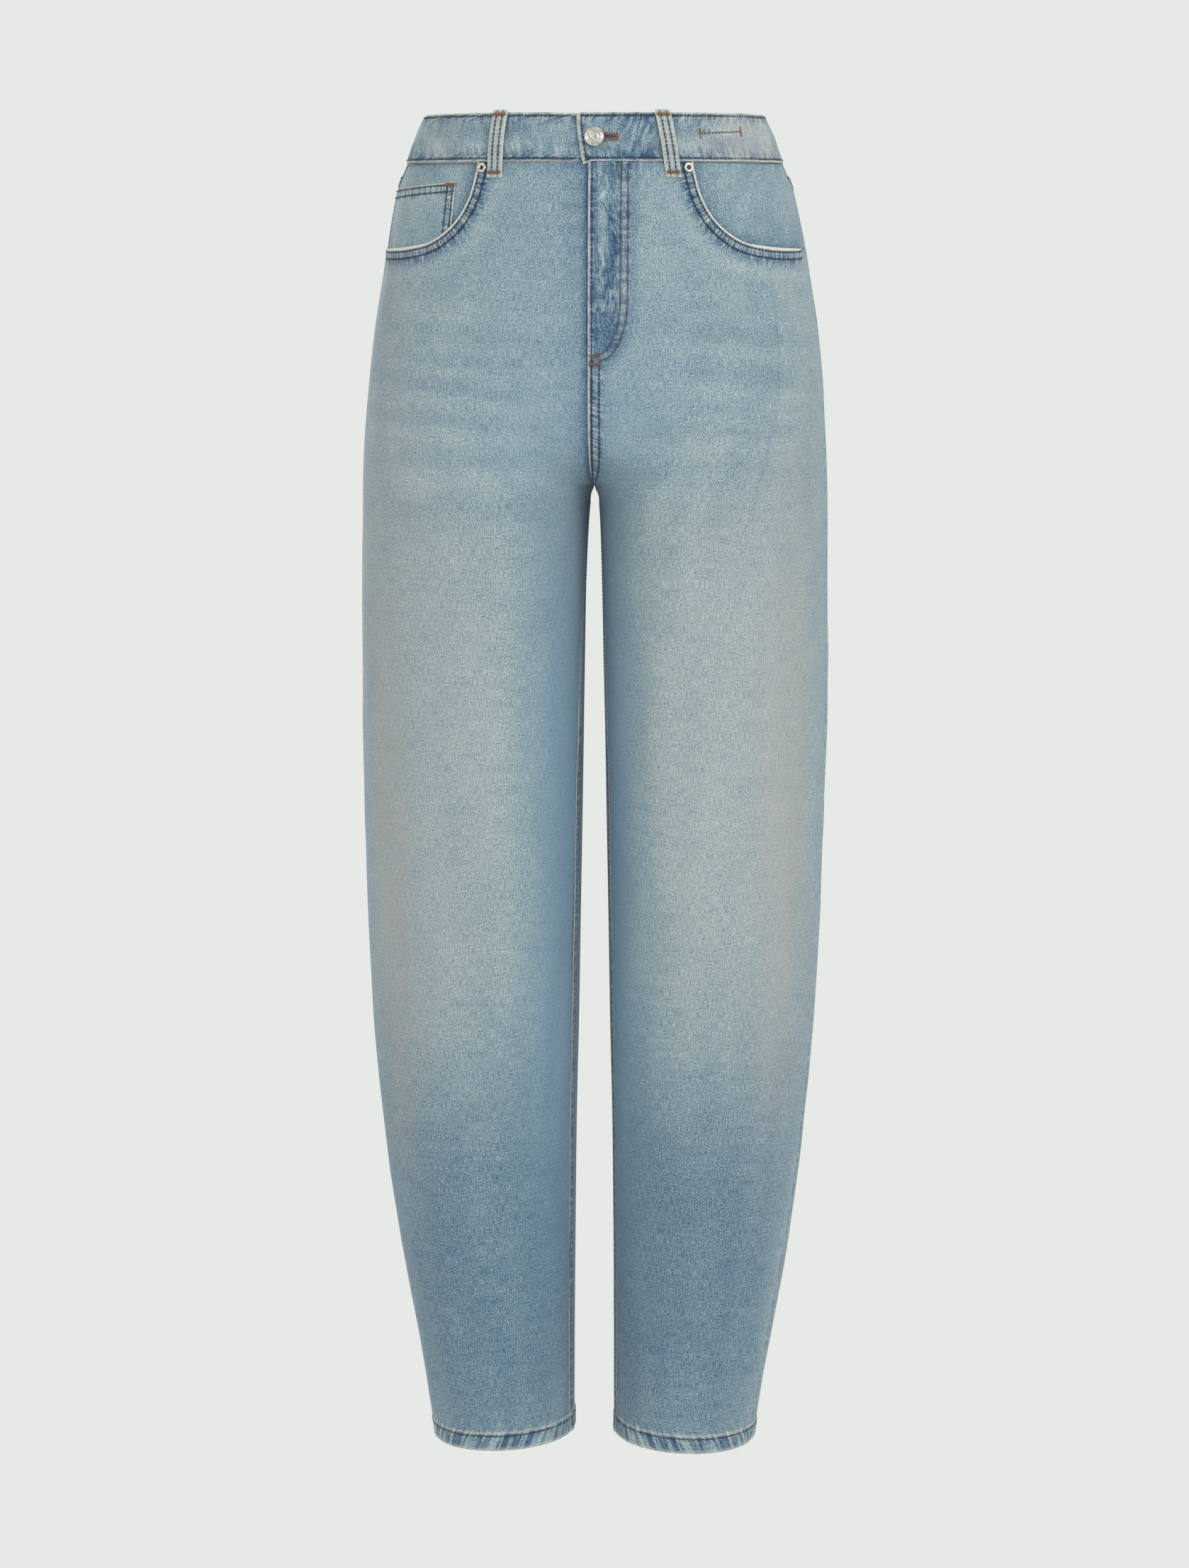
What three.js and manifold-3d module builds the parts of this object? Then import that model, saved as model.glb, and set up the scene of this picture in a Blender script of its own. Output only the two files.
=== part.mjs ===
// Barrel-leg denim jeans, filled out as when worn, with nobody in them.
// Millimetres, +Z up. The front faces -Y and the wearer's left is +X.
// The origin is the middle of the waist opening, level with the waistband's top edge.
import * as THREE from "three";
import { mergeVertices } from "three/addons/utils/BufferGeometryUtils.js";
import Module from "manifold-3d";

const wasm = await Module();
wasm.setup();

// Cloth and clearances
const CLOTH = 1.2;
const SEAM_GAP = 0.3;
const LAYER_GAP = 0.3;
const LEFT = 1;
const RIGHT = -1;

// Heights of the main lines, measured from the waistband's top edge
const BAND_BOTTOM = -36.5;
const FRONT_TOP = BAND_BOTTOM - SEAM_GAP;
const CROTCH_START = -214;
const CROTCH = -284;
const HEM_BOTTOM = -1043.5;
const HEM_DEPTH = 14;
const HEM_RELIEF = 0.8;

// Level sections of the garment's outer face, from the waist to the hem. side and inner are distances from
// the middle; front and back are depths from the middle; deep is where the section is widest; power squares
// its corners. side_lead and inner_lead are the degrees by which the seams come forward, and tilt slopes the
// section down to the outside.
const SECTION_COLUMNS = [
  "z", "side", "inner", "front", "back", "deep", "power", "side_lead", "inner_lead", "tilt",
];
const SECTIONS = [
  [0, 130, 0.15, 88, 97, 2, 2.15, 4, 0, 0],
  [-12, 136, 0.15, 90, 102, 2, 2.15, 4, 0, 0],
  [-37, 145.5, 0.15, 93, 109, 3, 2.18, 4, 0, 0],
  [-55, 153, 0.15, 96, 114, 3, 2.2, 4, 0, 0],
  [-76, 158, 0.15, 99, 120, 4, 2.22, 4, 0, 0],
  [-120, 165.5, 0.15, 103, 129, 5, 2.28, 4, 0, 0],
  [-165, 172.5, 0.15, 106, 134, 6, 2.32, 4, 0, 0],
  [-205, 177, 0.15, 107, 134, 6, 2.34, 4, 0, 0],
  [-260, 181, 0.15, 108, 128, 4, 2.28, 4, 0, 0],
  [-284, 181.9, 0.15, 108, 123, 3, 2.22, 4, 0, 0],
  [-294, 182.1, 3.6, 108, 121, 3, 2.2, 4, 0.6, 0],
  [-338, 182.5, 6.2, 108, 117, 2, 2.16, 4, 3, 0],
  [-430, 182.1, 8, 107, 112, 2, 2.12, 4, 6.5, 0],
  [-520, 181.2, 9.3, 105, 108, 1, 2.1, 4.5, 8, 0],
  [-610, 179.3, 10.9, 102, 104, 1, 2.1, 5.5, 8.5, 0],
  [-700, 175.5, 12.4, 97, 99, 1, 2.1, 7, 9, 0.01],
  [-792, 167.3, 14.4, 90, 93, 1, 2.1, 8.5, 9, 0.02],
  [-884, 154.9, 15.4, 82, 86, 1, 2.1, 10, 9, 0.03],
  [-978, 138.8, 16.1, 74, 79, 1, 2.1, 11, 9, 0.04],
  [-1043.5, 128.4, 16.3, 70, 74, 1, 2.1, 11, 9, 0.04],
];
// The legs are turned a little on the figure, so the right side seam sits further back than the left one.
const SIDE_LEAD_SHARE = { [LEFT]: 1, [RIGHT]: 0.15 };

// The largest soft folds. turn and z place the middle, wide and tall are half sizes, lean is degrees of turn
// for each millimetre of height, and rise is the height of the fold, less than nothing for a trough.
const FOLD_COLUMNS = ["half", "turn", "z", "wide", "tall", "lean", "rise"];
const FOLDS = [
  [LEFT, 16, -150, 7, 130, 0.01, 1.8],
  [RIGHT, 28, -170, 5, 110, -0.01, -1.4],
  [LEFT, 34, -330, 14, 120, 0.03, 2.2],
  [RIGHT, 36, -350, 14, 130, 0.02, 2],
  [LEFT, 60, -560, 16, 150, -0.03, -2],
  [RIGHT, 58, -600, 16, 140, -0.04, -1.8],
  [LEFT, 150, -300, 16, 34, 0.25, -4],
  [RIGHT, 148, -306, 17, 32, 0.22, -4],
  [LEFT, 138, -345, 18, 30, 0.2, 3],
  [RIGHT, 134, -350, 18, 30, 0.24, 3],
  [LEFT, 132, -610, 22, 26, 0.1, -4],
  [RIGHT, 138, -600, 22, 26, 0.12, -4],
  [LEFT, 140, -660, 24, 28, -0.1, 3.4],
  [RIGHT, 130, -655, 24, 28, -0.12, 3.2],
  [LEFT, 146, -720, 22, 28, 0.12, -3],
  [RIGHT, 140, -712, 22, 28, 0.1, -3],
];

function rowsOf(columns, table) {
  return table.map((row) => Object.fromEntries(columns.map((name, i) => [name, row[i]])));
}
const sections = rowsOf(SECTION_COLUMNS, SECTIONS);
const folds = rowsOf(FOLD_COLUMNS, FOLDS);

function clamp(v, low, high) {
  return Math.min(high, Math.max(low, v));
}
function smooth(v) {
  const s = clamp(v, 0, 1);
  return s * s * (3 - 2 * s);
}

// Slopes that keep a column from overshooting between its rows
function slopesOf(name) {
  const steps = sections.slice(1).map((row, i) => {
    const above = sections[i];
    return { h: above.z - row.z, d: (above[name] - row[name]) / (above.z - row.z) };
  });
  return sections.map((row, i) => {
    if (i === 0) return steps[0].d;
    if (i === sections.length - 1) return steps[i - 1].d;
    const a = steps[i - 1];
    const b = steps[i];
    if (a.d * b.d <= 0) return 0;
    const wa = 2 * b.h + a.h;
    const wb = b.h + 2 * a.h;
    return (wa + wb) / (wa / a.d + wb / b.d);
  });
}
const slopes = Object.fromEntries(SECTION_COLUMNS.slice(1).map((name) => [name, slopesOf(name)]));

function sectionAt(height) {
  const z = clamp(height, HEM_BOTTOM, 0);
  let i = sections.findIndex((row) => row.z <= z);
  i = Math.max(1, i);
  const low = sections[i];
  const high = sections[i - 1];
  const h = high.z - low.z;
  const s = (z - low.z) / h;
  const made = {};
  for (const name of SECTION_COLUMNS.slice(1)) {
    const rise = s * s * (3 - 2 * s);
    made[name] =
      low[name] * (1 - rise) +
      high[name] * rise +
      slopes[name][i] * h * s * (1 - s) ** 2 +
      slopes[name][i - 1] * h * s * s * (s - 1);
  }
  return made;
}

// How far the section has parted into two legs. At the crotch seam it follows a quarter of an ellipse, and
// away from the seam it changes slowly over a greater height.
const PART_START = -170;
const PART_END = -345;
const SEAM_REACH = 42;
// Half way between trunk and legs both outlines fall short of the full depth, and this share is added back.
const DEPTH_BACK = 0.133;
function forkShare(turn, z) {
  const drop = clamp((CROTCH_START - z) / (CROTCH_START - CROTCH), 0, 1);
  const atSeam = 1 - Math.sqrt(1 - drop * drop);
  const away = smooth((PART_START - z) / (PART_START - PART_END));
  const nearSeam = 1 - smooth(Math.min(Math.abs(turn), Math.abs(180 - turn)) / SEAM_REACH);
  return away + (atSeam - away) * nearSeam;
}

function powerOf(v, power) {
  return Math.sign(v) * Math.abs(v) ** (2 / power);
}

// The bare outer face on the wearer's left. turn is 0 at the centre front or inner leg, 90 at the side and
// 180 at the centre back.
function bareSkin(turn, z) {
  const k = sectionAt(z);
  const share = forkShare(turn, z);
  const a = THREE.MathUtils.degToRad(turn);
  const trunkDepth = Math.cos(a) > 0 ? k.front + k.deep : k.back - k.deep;
  const trunkX = k.side * powerOf(Math.sin(a), k.power);
  const trunkY = k.deep - trunkDepth * powerOf(Math.cos(a), k.power);
  const centre = (k.side + k.inner) / 2;
  const halfWidth = (k.side - k.inner) / 2;
  const legDepth = Math.sin(2 * a) > 0 ? k.front + k.deep : k.back - k.deep;
  const legX = centre - halfWidth * powerOf(Math.cos(2 * a), k.power);
  const legY = k.deep - legDepth * powerOf(Math.sin(2 * a), k.power);
  const x = trunkX + (legX - trunkX) * share;
  const depth = trunkY + (legY - trunkY) * share - k.deep;
  const y = k.deep + depth * (1 + DEPTH_BACK * 4 * share * (1 - share));
  return new THREE.Vector3(x, y, z - k.tilt * (x - centre));
}

function bareNormal(turn, z) {
  const dTurn = 0.5;
  const dz = 0.5;
  const high = Math.min(z + dz, 0);
  const low = z + dz > 0 || z - dz >= HEM_BOTTOM ? z - dz : HEM_BOTTOM;
  const along = bareSkin(turn + dTurn, z).sub(bareSkin(turn - dTurn, z));
  const up = bareSkin(turn, high).sub(bareSkin(turn, low));
  return along.cross(up).normalize();
}

function foldRise(half, turn, z) {
  let rise = 0;
  for (const fold of folds) {
    if (fold.half !== half) continue;
    const dz = (z - fold.z) / fold.tall;
    const dt = (turn - fold.turn - fold.lean * (z - fold.z)) / fold.wide;
    const reach = dz * dz + dt * dt;
    if (reach < 4) rise += fold.rise * Math.exp(-1.6 * reach) * (1 - reach / 4);
  }
  return rise;
}

// A point lifted off the outer face, on the half asked for
function skin(half, turn, z, lift) {
  const p = bareSkin(turn, z).addScaledVector(bareNormal(turn, z), lift + foldRise(half, turn, z));
  p.x *= half;
  return p;
}
function skinNormal(half, turn, z) {
  const n = bareNormal(turn, z);
  n.x *= half;
  return n;
}

// Where each face of the garment starts, at its centre or inner-leg seam, and ends, at the side seam
function sideTurn(half, z) {
  return 90 - sectionAt(z).side_lead * SIDE_LEAD_SHARE[half];
}
function faceTurns(half, face, z) {
  const lead = sectionAt(z).inner_lead;
  const start = face === "front" ? lead : 180 + lead;
  return [start, sideTurn(half, z)];
}

// Girth distances along a face at one height, from its centre or inner seam
const GIRTH_STEPS = 60;
const girths = new Map();
function girthOf(half, face, z) {
  const key = `${half} ${face} ${z.toFixed(3)}`;
  if (girths.has(key)) return girths.get(key);
  const [start, end] = faceTurns(half, face, z);
  const turns = [];
  const lengths = [0];
  let last = null;
  for (let i = 0; i <= GIRTH_STEPS; i++) {
    const turn = start + ((end - start) * i) / GIRTH_STEPS;
    const p = bareSkin(turn, z);
    if (last) lengths.push(lengths[i - 1] + p.distanceTo(last));
    turns.push(turn);
    last = p;
  }
  const made = { turns, lengths, width: lengths[GIRTH_STEPS] };
  girths.set(key, made);
  return made;
}
function turnAt(half, face, z, girth) {
  const g = girthOf(half, face, z);
  let i = g.lengths.findIndex((length) => length >= girth);
  if (i < 0) i = GIRTH_STEPS;
  i = Math.max(1, i);
  const share = (girth - g.lengths[i - 1]) / (g.lengths[i] - g.lengths[i - 1]);
  return g.turns[i - 1] + (g.turns[i] - g.turns[i - 1]) * share;
}
function pointAt(half, face, z, girth, lift) {
  return skin(half, turnAt(half, face, z, girth), z, lift);
}

// A closed wall between two grids of points, with faces that point out. over(i, j) and under(i, j) give the
// points of its outer and inner face.
function wall(columns, rows, over, under) {
  const position = [];
  const index = [];
  const at = (layer, i, j) => layer * (columns + 1) * (rows + 1) + j * (columns + 1) + i;
  for (const face of [over, under]) {
    for (let j = 0; j <= rows; j++) {
      for (let i = 0; i <= columns; i++) position.push(...face(i, j).toArray());
    }
  }
  const quad = (a, b, c, d) => index.push(a, b, c, a, c, d);
  for (let j = 0; j < rows; j++) {
    for (let i = 0; i < columns; i++) {
      quad(at(0, i, j), at(0, i, j + 1), at(0, i + 1, j + 1), at(0, i + 1, j));
      quad(at(1, i, j), at(1, i + 1, j), at(1, i + 1, j + 1), at(1, i, j + 1));
    }
  }
  for (let j = 0; j < rows; j++) {
    quad(at(0, 0, j), at(1, 0, j), at(1, 0, j + 1), at(0, 0, j + 1));
    quad(at(0, columns, j), at(0, columns, j + 1), at(1, columns, j + 1), at(1, columns, j));
  }
  for (let i = 0; i < columns; i++) {
    quad(at(0, i, 0), at(0, i + 1, 0), at(1, i + 1, 0), at(1, i, 0));
    quad(at(0, i, rows), at(1, i, rows), at(1, i + 1, rows), at(0, i + 1, rows));
  }
  const geometry = new THREE.BufferGeometry();
  geometry.setAttribute("position", new THREE.Float32BufferAttribute(position, 3));
  geometry.setIndex(index);
  return facingOut(geometry);
}

// Turns every face round if the closed surface points inwards
function facingOut(geometry) {
  const p = geometry.getAttribute("position");
  const index = geometry.getIndex().array;
  const corner = (i) => new THREE.Vector3().fromBufferAttribute(p, index[i]);
  let volume = 0;
  for (let i = 0; i < index.length; i += 3) {
    volume += corner(i).dot(corner(i + 1).cross(corner(i + 2)));
  }
  if (volume < 0) {
    for (let i = 0; i < index.length; i += 3) [index[i + 1], index[i + 2]] = [index[i + 2], index[i + 1]];
  }
  return geometry;
}

// Cutting and joining
function solidOf(geometry) {
  const bare = geometry.clone();
  bare.deleteAttribute("normal");
  bare.deleteAttribute("uv");
  const merged = mergeVertices(bare, 1e-4);
  return new wasm.Manifold(
    new wasm.Mesh({
      numProp: 3,
      vertProperties: new Float32Array(merged.getAttribute("position").array),
      triVerts: new Uint32Array(merged.getIndex().array),
    }),
  );
}
function geometryOf(solid) {
  const mesh = solid.getMesh();
  const geometry = new THREE.BufferGeometry();
  geometry.setAttribute("position", new THREE.BufferAttribute(new Float32Array(mesh.vertProperties), 3));
  geometry.setIndex(new THREE.BufferAttribute(new Uint32Array(mesh.triVerts), 1));
  return geometry;
}

// A prism along Y with its outline in X and Z. The front prisms cover the front of the garment only.
function prism(outline, fromY, toY) {
  const shape = new THREE.Shape(outline);
  const made = new THREE.ExtrudeGeometry(shape, { depth: toY - fromY, bevelEnabled: false, steps: 1 });
  made.rotateX(Math.PI / 2);
  made.translate(0, toY, 0);
  return made;
}

// Heights of a panel's rows: level bands between named lines, closer together round the crotch
function spread(from, to, count) {
  return Array.from({ length: count }, (_, i) => from + ((to - from) * i) / count);
}
const CROTCH_ROWS = 6;
const crotchRows = Array.from(
  { length: CROTCH_ROWS },
  (_, i) => CROTCH_START + (CROTCH - CROTCH_START) * Math.sin((i / CROTCH_ROWS) * (Math.PI / 2)),
);
const HEM_TOP = HEM_BOTTOM + HEM_DEPTH;
const LEG_ROWS = [
  ...crotchRows,
  ...spread(CROTCH, -350, 5),
  ...spread(-350, HEM_TOP + 1.5, 15),
  HEM_TOP + 1.5,
  HEM_TOP,
  HEM_BOTTOM,
];

// The fly: a raised strip beside the centre front whose outer edge turns in at its foot, on a quarter of an
// ellipse
const FLY = { width: 31, foot: 8, bendTop: -132, bottom: -180, relief: 0.9, edge: 1.8 };
function flyEdge(z) {
  const drop = clamp((FLY.bendTop - z) / (FLY.bendTop - FLY.bottom), 0, 1);
  return FLY.foot + (FLY.width - FLY.foot) * Math.sqrt(1 - drop * drop);
}
const FRONT_ROWS = [
  ...spread(FRONT_TOP, FLY.bendTop, 4),
  ...spread(FLY.bendTop, FLY.bottom + 2, 4),
  FLY.bottom + 2,
  FLY.bottom,
  FLY.bottom - 1.5,
  ...LEG_ROWS,
];
function relief(half, face, column, z) {
  const hem = z <= HEM_TOP ? HEM_RELIEF : 0;
  const onFly = half === LEFT && face === "front" && column < 2 && z >= FLY.bottom;
  return hem + (onFly ? FLY.relief : 0);
}

// The yoke seam on the back: its height falls from the side seam to the centre back
const YOKE_AT_SIDE = -54;
const YOKE_AT_CENTRE = -104;
function yokeLine(share) {
  return YOKE_AT_CENTRE + (YOKE_AT_SIDE - YOKE_AT_CENTRE) * share ** 1.15;
}

const BACK_BLEND_ROWS = 6;
const BACK_ROWS = [...spread(0, 1, BACK_BLEND_ROWS), ...LEG_ROWS];
const PANEL_COLUMNS = 12;

// The turn and height of one point of a panel's grid. Columns run from the inner seam to the side seam,
// evenly in turn, except that on the front the first two stand on either side of the fly's edge as far down
// as the fly.
const FLY_COLUMNS_END = -184;
const EVEN_COLUMNS_START = -250;
function panelSpot(half, face, i, j) {
  const share = i / PANEL_COLUMNS;
  let z;
  if (face === "front") {
    z = FRONT_ROWS[j];
  } else if (j < BACK_BLEND_ROWS) {
    const top = yokeLine(share) - SEAM_GAP;
    z = top + (CROTCH_START - top) * BACK_ROWS[j];
  } else {
    z = BACK_ROWS[j];
  }
  const start = turnAt(half, face, z, SEAM_GAP / 2);
  const end = turnAt(half, face, z, girthOf(half, face, z).width - SEAM_GAP / 2);
  const even = start + (end - start) * share;
  if (face === "back" || i === 0) return { z, turn: even };
  const clear = turnAt(half, face, z, FLY.width + FLY.edge);
  let beside = clear + ((end - clear) * (i - 2)) / (PANEL_COLUMNS - 2);
  if (i < 3) beside = turnAt(half, face, z, flyEdge(z) + (i - 1) * FLY.edge);
  const evenShare = smooth((FLY_COLUMNS_END - z) / (FLY_COLUMNS_END - EVEN_COLUMNS_START));
  return { z, turn: beside + (even - beside) * evenShare };
}
function panelWall(half, face, lift, thickness, withRelief) {
  const rows = (face === "front" ? FRONT_ROWS : BACK_ROWS).length - 1;
  const over = (i, j) => {
    const { z, turn } = panelSpot(half, face, i, j);
    const extra = withRelief ? relief(half, face, i, z) : 0;
    return skin(half, turn, z, lift + extra);
  };
  const under = (i, j) => {
    const { z, turn } = panelSpot(half, face, i, j);
    return skin(half, turn, z, lift - thickness);
  };
  return wall(PANEL_COLUMNS, rows, over, under);
}

// Front pocket openings. Each row is the girth from the centre front and the height of the opening's edge.
const DETAIL_SHIFT = 3; // the hip details sit this far towards the wearer's right of a mirrored place
const OPENING_COLUMNS = ["girth", "z"];
const OPENING = rowsOf(OPENING_COLUMNS, [
  [81, -30],
  [83.5, -42],
  [90, -64],
  [102, -82],
  [121, -95.5],
  [143, -101],
  [168, -102.5],
  [192, -102],
]);
const FACING_MARGIN = 16;
const OPENING_POINTS = 28;
// The opening's edge in the front view, moved towards the middle and down by margin
function openingEdge(half, margin) {
  const curve = new THREE.SplineCurve(OPENING.map((row) => new THREE.Vector2(row.girth, row.z)));
  return curve.getPoints(OPENING_POINTS).map((p, i) => {
    const t = i / OPENING_POINTS;
    const tangent = curve.getTangent(t);
    const girth = p.x - half * DETAIL_SHIFT + tangent.y * margin;
    const z = p.y - tangent.x * margin;
    const place = pointAt(half, "front", z, Math.min(girth, girthOf(half, "front", z).width), 0);
    return new THREE.Vector2(place.x, place.z);
  });
}
const OUTSIDE = 260;
function openingPrism(half, margin) {
  const edge = openingEdge(half, margin);
  const last = edge[edge.length - 1];
  const top = OUTSIDE / 4;
  const outline = [
    ...edge,
    new THREE.Vector2(half * OUTSIDE, last.y),
    new THREE.Vector2(half * OUTSIDE, top),
    new THREE.Vector2(edge[0].x, top),
  ];
  return prism(outline, -OUTSIDE, 0);
}

const COIN_CLOTH = 1;
const FACING_LIFT = { [LEFT]: -CLOTH - LAYER_GAP, [RIGHT]: -CLOTH - COIN_CLOTH - 2 * LAYER_GAP };

function frontPanel(half) {
  const whole = solidOf(panelWall(half, "front", 0, CLOTH, true));
  return geometryOf(whole.subtract(solidOf(openingPrism(half, 0))));
}
function backPanel(half) {
  return panelWall(half, "back", 0, CLOTH, true);
}
function pocketFacing(half) {
  const whole = solidOf(panelWall(half, "front", FACING_LIFT[half], CLOTH, false));
  return geometryOf(whole.intersect(solidOf(openingPrism(half, FACING_MARGIN))));
}

// The coin pocket on the right facing: its inner top corner, foot and outer end, as girth and height
const COIN = { innerTop: [106, -51], innerFoot: [110, -92], outerFoot: [183, -112], outerTop: [183, -56] };
function coinPocket() {
  const corner = ([girth, z]) => {
    const p = pointAt(RIGHT, "front", z, girth, 0);
    return new THREE.Vector2(p.x, p.z);
  };
  const outline = [COIN.innerTop, COIN.innerFoot, COIN.outerFoot, COIN.outerTop].map(corner);
  const layer = solidOf(panelWall(RIGHT, "front", -CLOTH - LAYER_GAP, COIN_CLOTH, false));
  return geometryOf(layer.intersect(solidOf(prism(outline, -OUTSIDE, 0))));
}

const YOKE_ROWS = 3;
function yoke(half) {
  const spot = (i, j, lift) => {
    const share = i / PANEL_COLUMNS;
    const z = FRONT_TOP + (yokeLine(share) - FRONT_TOP) * (j / YOKE_ROWS);
    const start = turnAt(half, "back", z, SEAM_GAP / 2);
    const end = turnAt(half, "back", z, girthOf(half, "back", z).width - SEAM_GAP / 2);
    return skin(half, start + (end - start) * share, z, lift);
  };
  return wall(PANEL_COLUMNS, YOKE_ROWS, (i, j) => spot(i, j, 0), (i, j) => spot(i, j, -CLOTH));
}

// Back pockets: five-sided patches whose top edge runs along the yoke seam
const BACK_POCKET = {
  inner: 34,
  outer: 166,
  innerFoot: 42,
  outerFoot: 156,
  belowYoke: 15,
  tall: 118,
  point: 142,
};
function backPocket(half) {
  const b = BACK_POCKET;
  const width = girthOf(half, "back", YOKE_AT_CENTRE).width;
  const topAt = (girth) => yokeLine(girth / width) - b.belowYoke;
  const foot = topAt((b.inner + b.outer) / 2);
  const corners = [
    [b.inner, topAt(b.inner)],
    [b.innerFoot, foot - b.tall],
    [(b.innerFoot + b.outerFoot) / 2, foot - b.point],
    [b.outerFoot, foot - b.tall],
    [b.outer, topAt(b.outer)],
  ];
  const outline = corners.map(([girth, z]) => {
    const p = pointAt(half, "back", z, girth, 0);
    return new THREE.Vector2(p.x, p.z);
  });
  const layer = solidOf(panelWall(half, "back", CLOTH + LAYER_GAP, CLOTH, false));
  return geometryOf(layer.intersect(solidOf(prism(outline, 0, OUTSIDE))));
}

// The waistband, one strip that starts at its upper end on the wearer's left, goes round the back and passes
// under itself at the centre front
const BAND_OVER = 1;
const BAND_THICK = 2.8;
const BAND_COLUMNS = 52;
const BAND_ROWS = 3;
const BAND_LAP = { topEnd: -9, bottomEnd: -3.5, under: 33, dropStart: 34, dropEnd: 14, gap: 0.5 };
// Signed turn at a signed girth from the centre front, going left round the ring at one height
const ring = new Map();
function ringAt(z) {
  const key = z.toFixed(3);
  if (ring.has(key)) return ring.get(key);
  const steps = 180;
  const lengths = [0];
  for (let i = 1; i <= steps; i++) {
    lengths.push(lengths[i - 1] + bareSkin(i, z).distanceTo(bareSkin(i - 1, z)));
  }
  ring.set(key, lengths);
  return lengths;
}
function ringPoint(z, girth, lift) {
  const lengths = ringAt(z);
  const half = lengths[180];
  let along = girth;
  while (along > half) along -= 2 * half;
  const side = along < 0 ? RIGHT : LEFT;
  const reach = Math.abs(along);
  const i = Math.max(1, lengths.findIndex((length) => length >= reach));
  const turn = i - 1 + (reach - lengths[i - 1]) / (lengths[i] - lengths[i - 1]);
  return skin(side, turn, z, lift);
}
function bandSpot(i, j, lift) {
  const z = (BAND_BOTTOM * j) / BAND_ROWS;
  const around = 2 * ringAt(z)[180];
  const start = BAND_LAP.topEnd + (BAND_LAP.bottomEnd - BAND_LAP.topEnd) * (j / BAND_ROWS);
  const end = around + BAND_LAP.under;
  const girth = start + (end - start) * (i / BAND_COLUMNS);
  const before = around - girth;
  const drop = smooth((BAND_LAP.dropStart - before) / (BAND_LAP.dropStart - BAND_LAP.dropEnd));
  return ringPoint(z, girth, lift - drop * (BAND_THICK + BAND_LAP.gap));
}

// Button and buttonhole, in the middle of the band's upper end
const BUTTON = { girth: 4.6, z: -18.5, radius: 7.5, shank: 2.4, rim: 0.9, dome: 1.5, stand: 0.8 };
const BUTTONHOLE = { eye: 3.1, slot: 1.1, end: 22 };
function buttonholePrism() {
  const z = BUTTON.z;
  const foot = new THREE.Vector2(BUTTONHOLE.end, z - BUTTONHOLE.slot);
  const head = new THREE.Vector2(BUTTONHOLE.end, z + BUTTONHOLE.slot);
  const outline = [foot, head];
  const start = Math.asin(BUTTONHOLE.slot / BUTTONHOLE.eye);
  const steps = 14;
  for (let i = 0; i <= steps; i++) {
    const a = start + ((2 * Math.PI - 2 * start) * i) / steps;
    const girth = BUTTON.girth + BUTTONHOLE.eye * Math.cos(a);
    outline.push(new THREE.Vector2(girth, z + BUTTONHOLE.eye * Math.sin(a)));
  }
  const bandFront = skin(LEFT, 2, z, 0).y;
  const under = bandFront + BAND_THICK - BAND_OVER + BAND_LAP.gap / 2;
  return prism(outline, -OUTSIDE, under);
}
function waistband() {
  const over = (i, j) => bandSpot(i, j, BAND_OVER);
  const under = (i, j) => bandSpot(i, j, BAND_OVER - BAND_THICK);
  const strip = solidOf(wall(BAND_COLUMNS, BAND_ROWS, over, under));
  return geometryOf(strip.subtract(solidOf(buttonholePrism())));
}

// Turns a piece made along +Z so that it stands on the outer face at a point
function seat(geometry, half, turn, z, lift) {
  const n = skinNormal(half, turn, z);
  const q = new THREE.Quaternion().setFromUnitVectors(new THREE.Vector3(0, 0, 1), n);
  geometry.applyQuaternion(q);
  const p = skin(half, turn, z, lift);
  return geometry.translate(p.x, p.y, p.z);
}
function lathe(profile, segments) {
  const made = new THREE.LatheGeometry(profile.map(([r, h]) => new THREE.Vector2(r, h)), segments);
  made.rotateX(Math.PI / 2);
  const bare = mergeVertices(made.deleteAttribute("normal").deleteAttribute("uv"), 1e-4);
  return facingOut(bare);
}
function button() {
  const b = BUTTON;
  // From the under layer's face, through the eye, to the cap that stands just off the band
  const foot = BAND_OVER - BAND_THICK - BAND_LAP.gap + 2 * LAYER_GAP;
  const cap = BAND_OVER + b.stand;
  const profile = [
    [0, foot],
    [b.shank, foot],
    [b.shank, cap],
    [b.radius - 0.8, cap],
    [b.radius, cap + 0.8],
    [b.radius - 0.2, cap + 1.8],
    [b.radius - b.rim, cap + 2.1],
    [b.radius - b.rim - 0.5, cap + 1.6],
    [b.radius * 0.5, cap + b.dome + 0.5],
    [0, cap + b.dome + 0.7],
  ];
  const made = lathe(profile, 20);
  return seat(made, LEFT, turnAt(LEFT, "front", b.z, b.girth), b.z, 0);
}

const RIVET = { girth: 79.5, z: -41.2, radius: 3.6, hole: 1.3, high: 1.3 };
function rivet(half) {
  const r = RIVET;
  const profile = [
    [0, 0],
    [r.radius, 0],
    [r.radius, r.high * 0.55],
    [r.radius * 0.78, r.high],
    [r.hole + 0.5, r.high * 0.85],
    [r.hole, r.high * 0.4],
    [r.hole * 0.4, r.high * 0.9],
    [0, r.high],
  ];
  const girth = r.girth - half * DETAIL_SHIFT;
  return seat(lathe(profile, 16), half, turnAt(half, "front", r.z, girth), r.z, LAYER_GAP + 0.15);
}

// Belt loops: narrow strips that stand off the band between their sewn ends
const LOOP = { wide: 12, thick: 1.5, columns: 2 };
const LOOP_PROFILE = rowsOf(["z", "lift"], [
  [1.6, 1.6],
  [-3, 1.8],
  [-8, 2.9],
  [-18, 3.8],
  [-28, 3.5],
  [-36, 2.3],
  [-42, 1.1],
  [-49, 0.6],
]);
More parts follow.
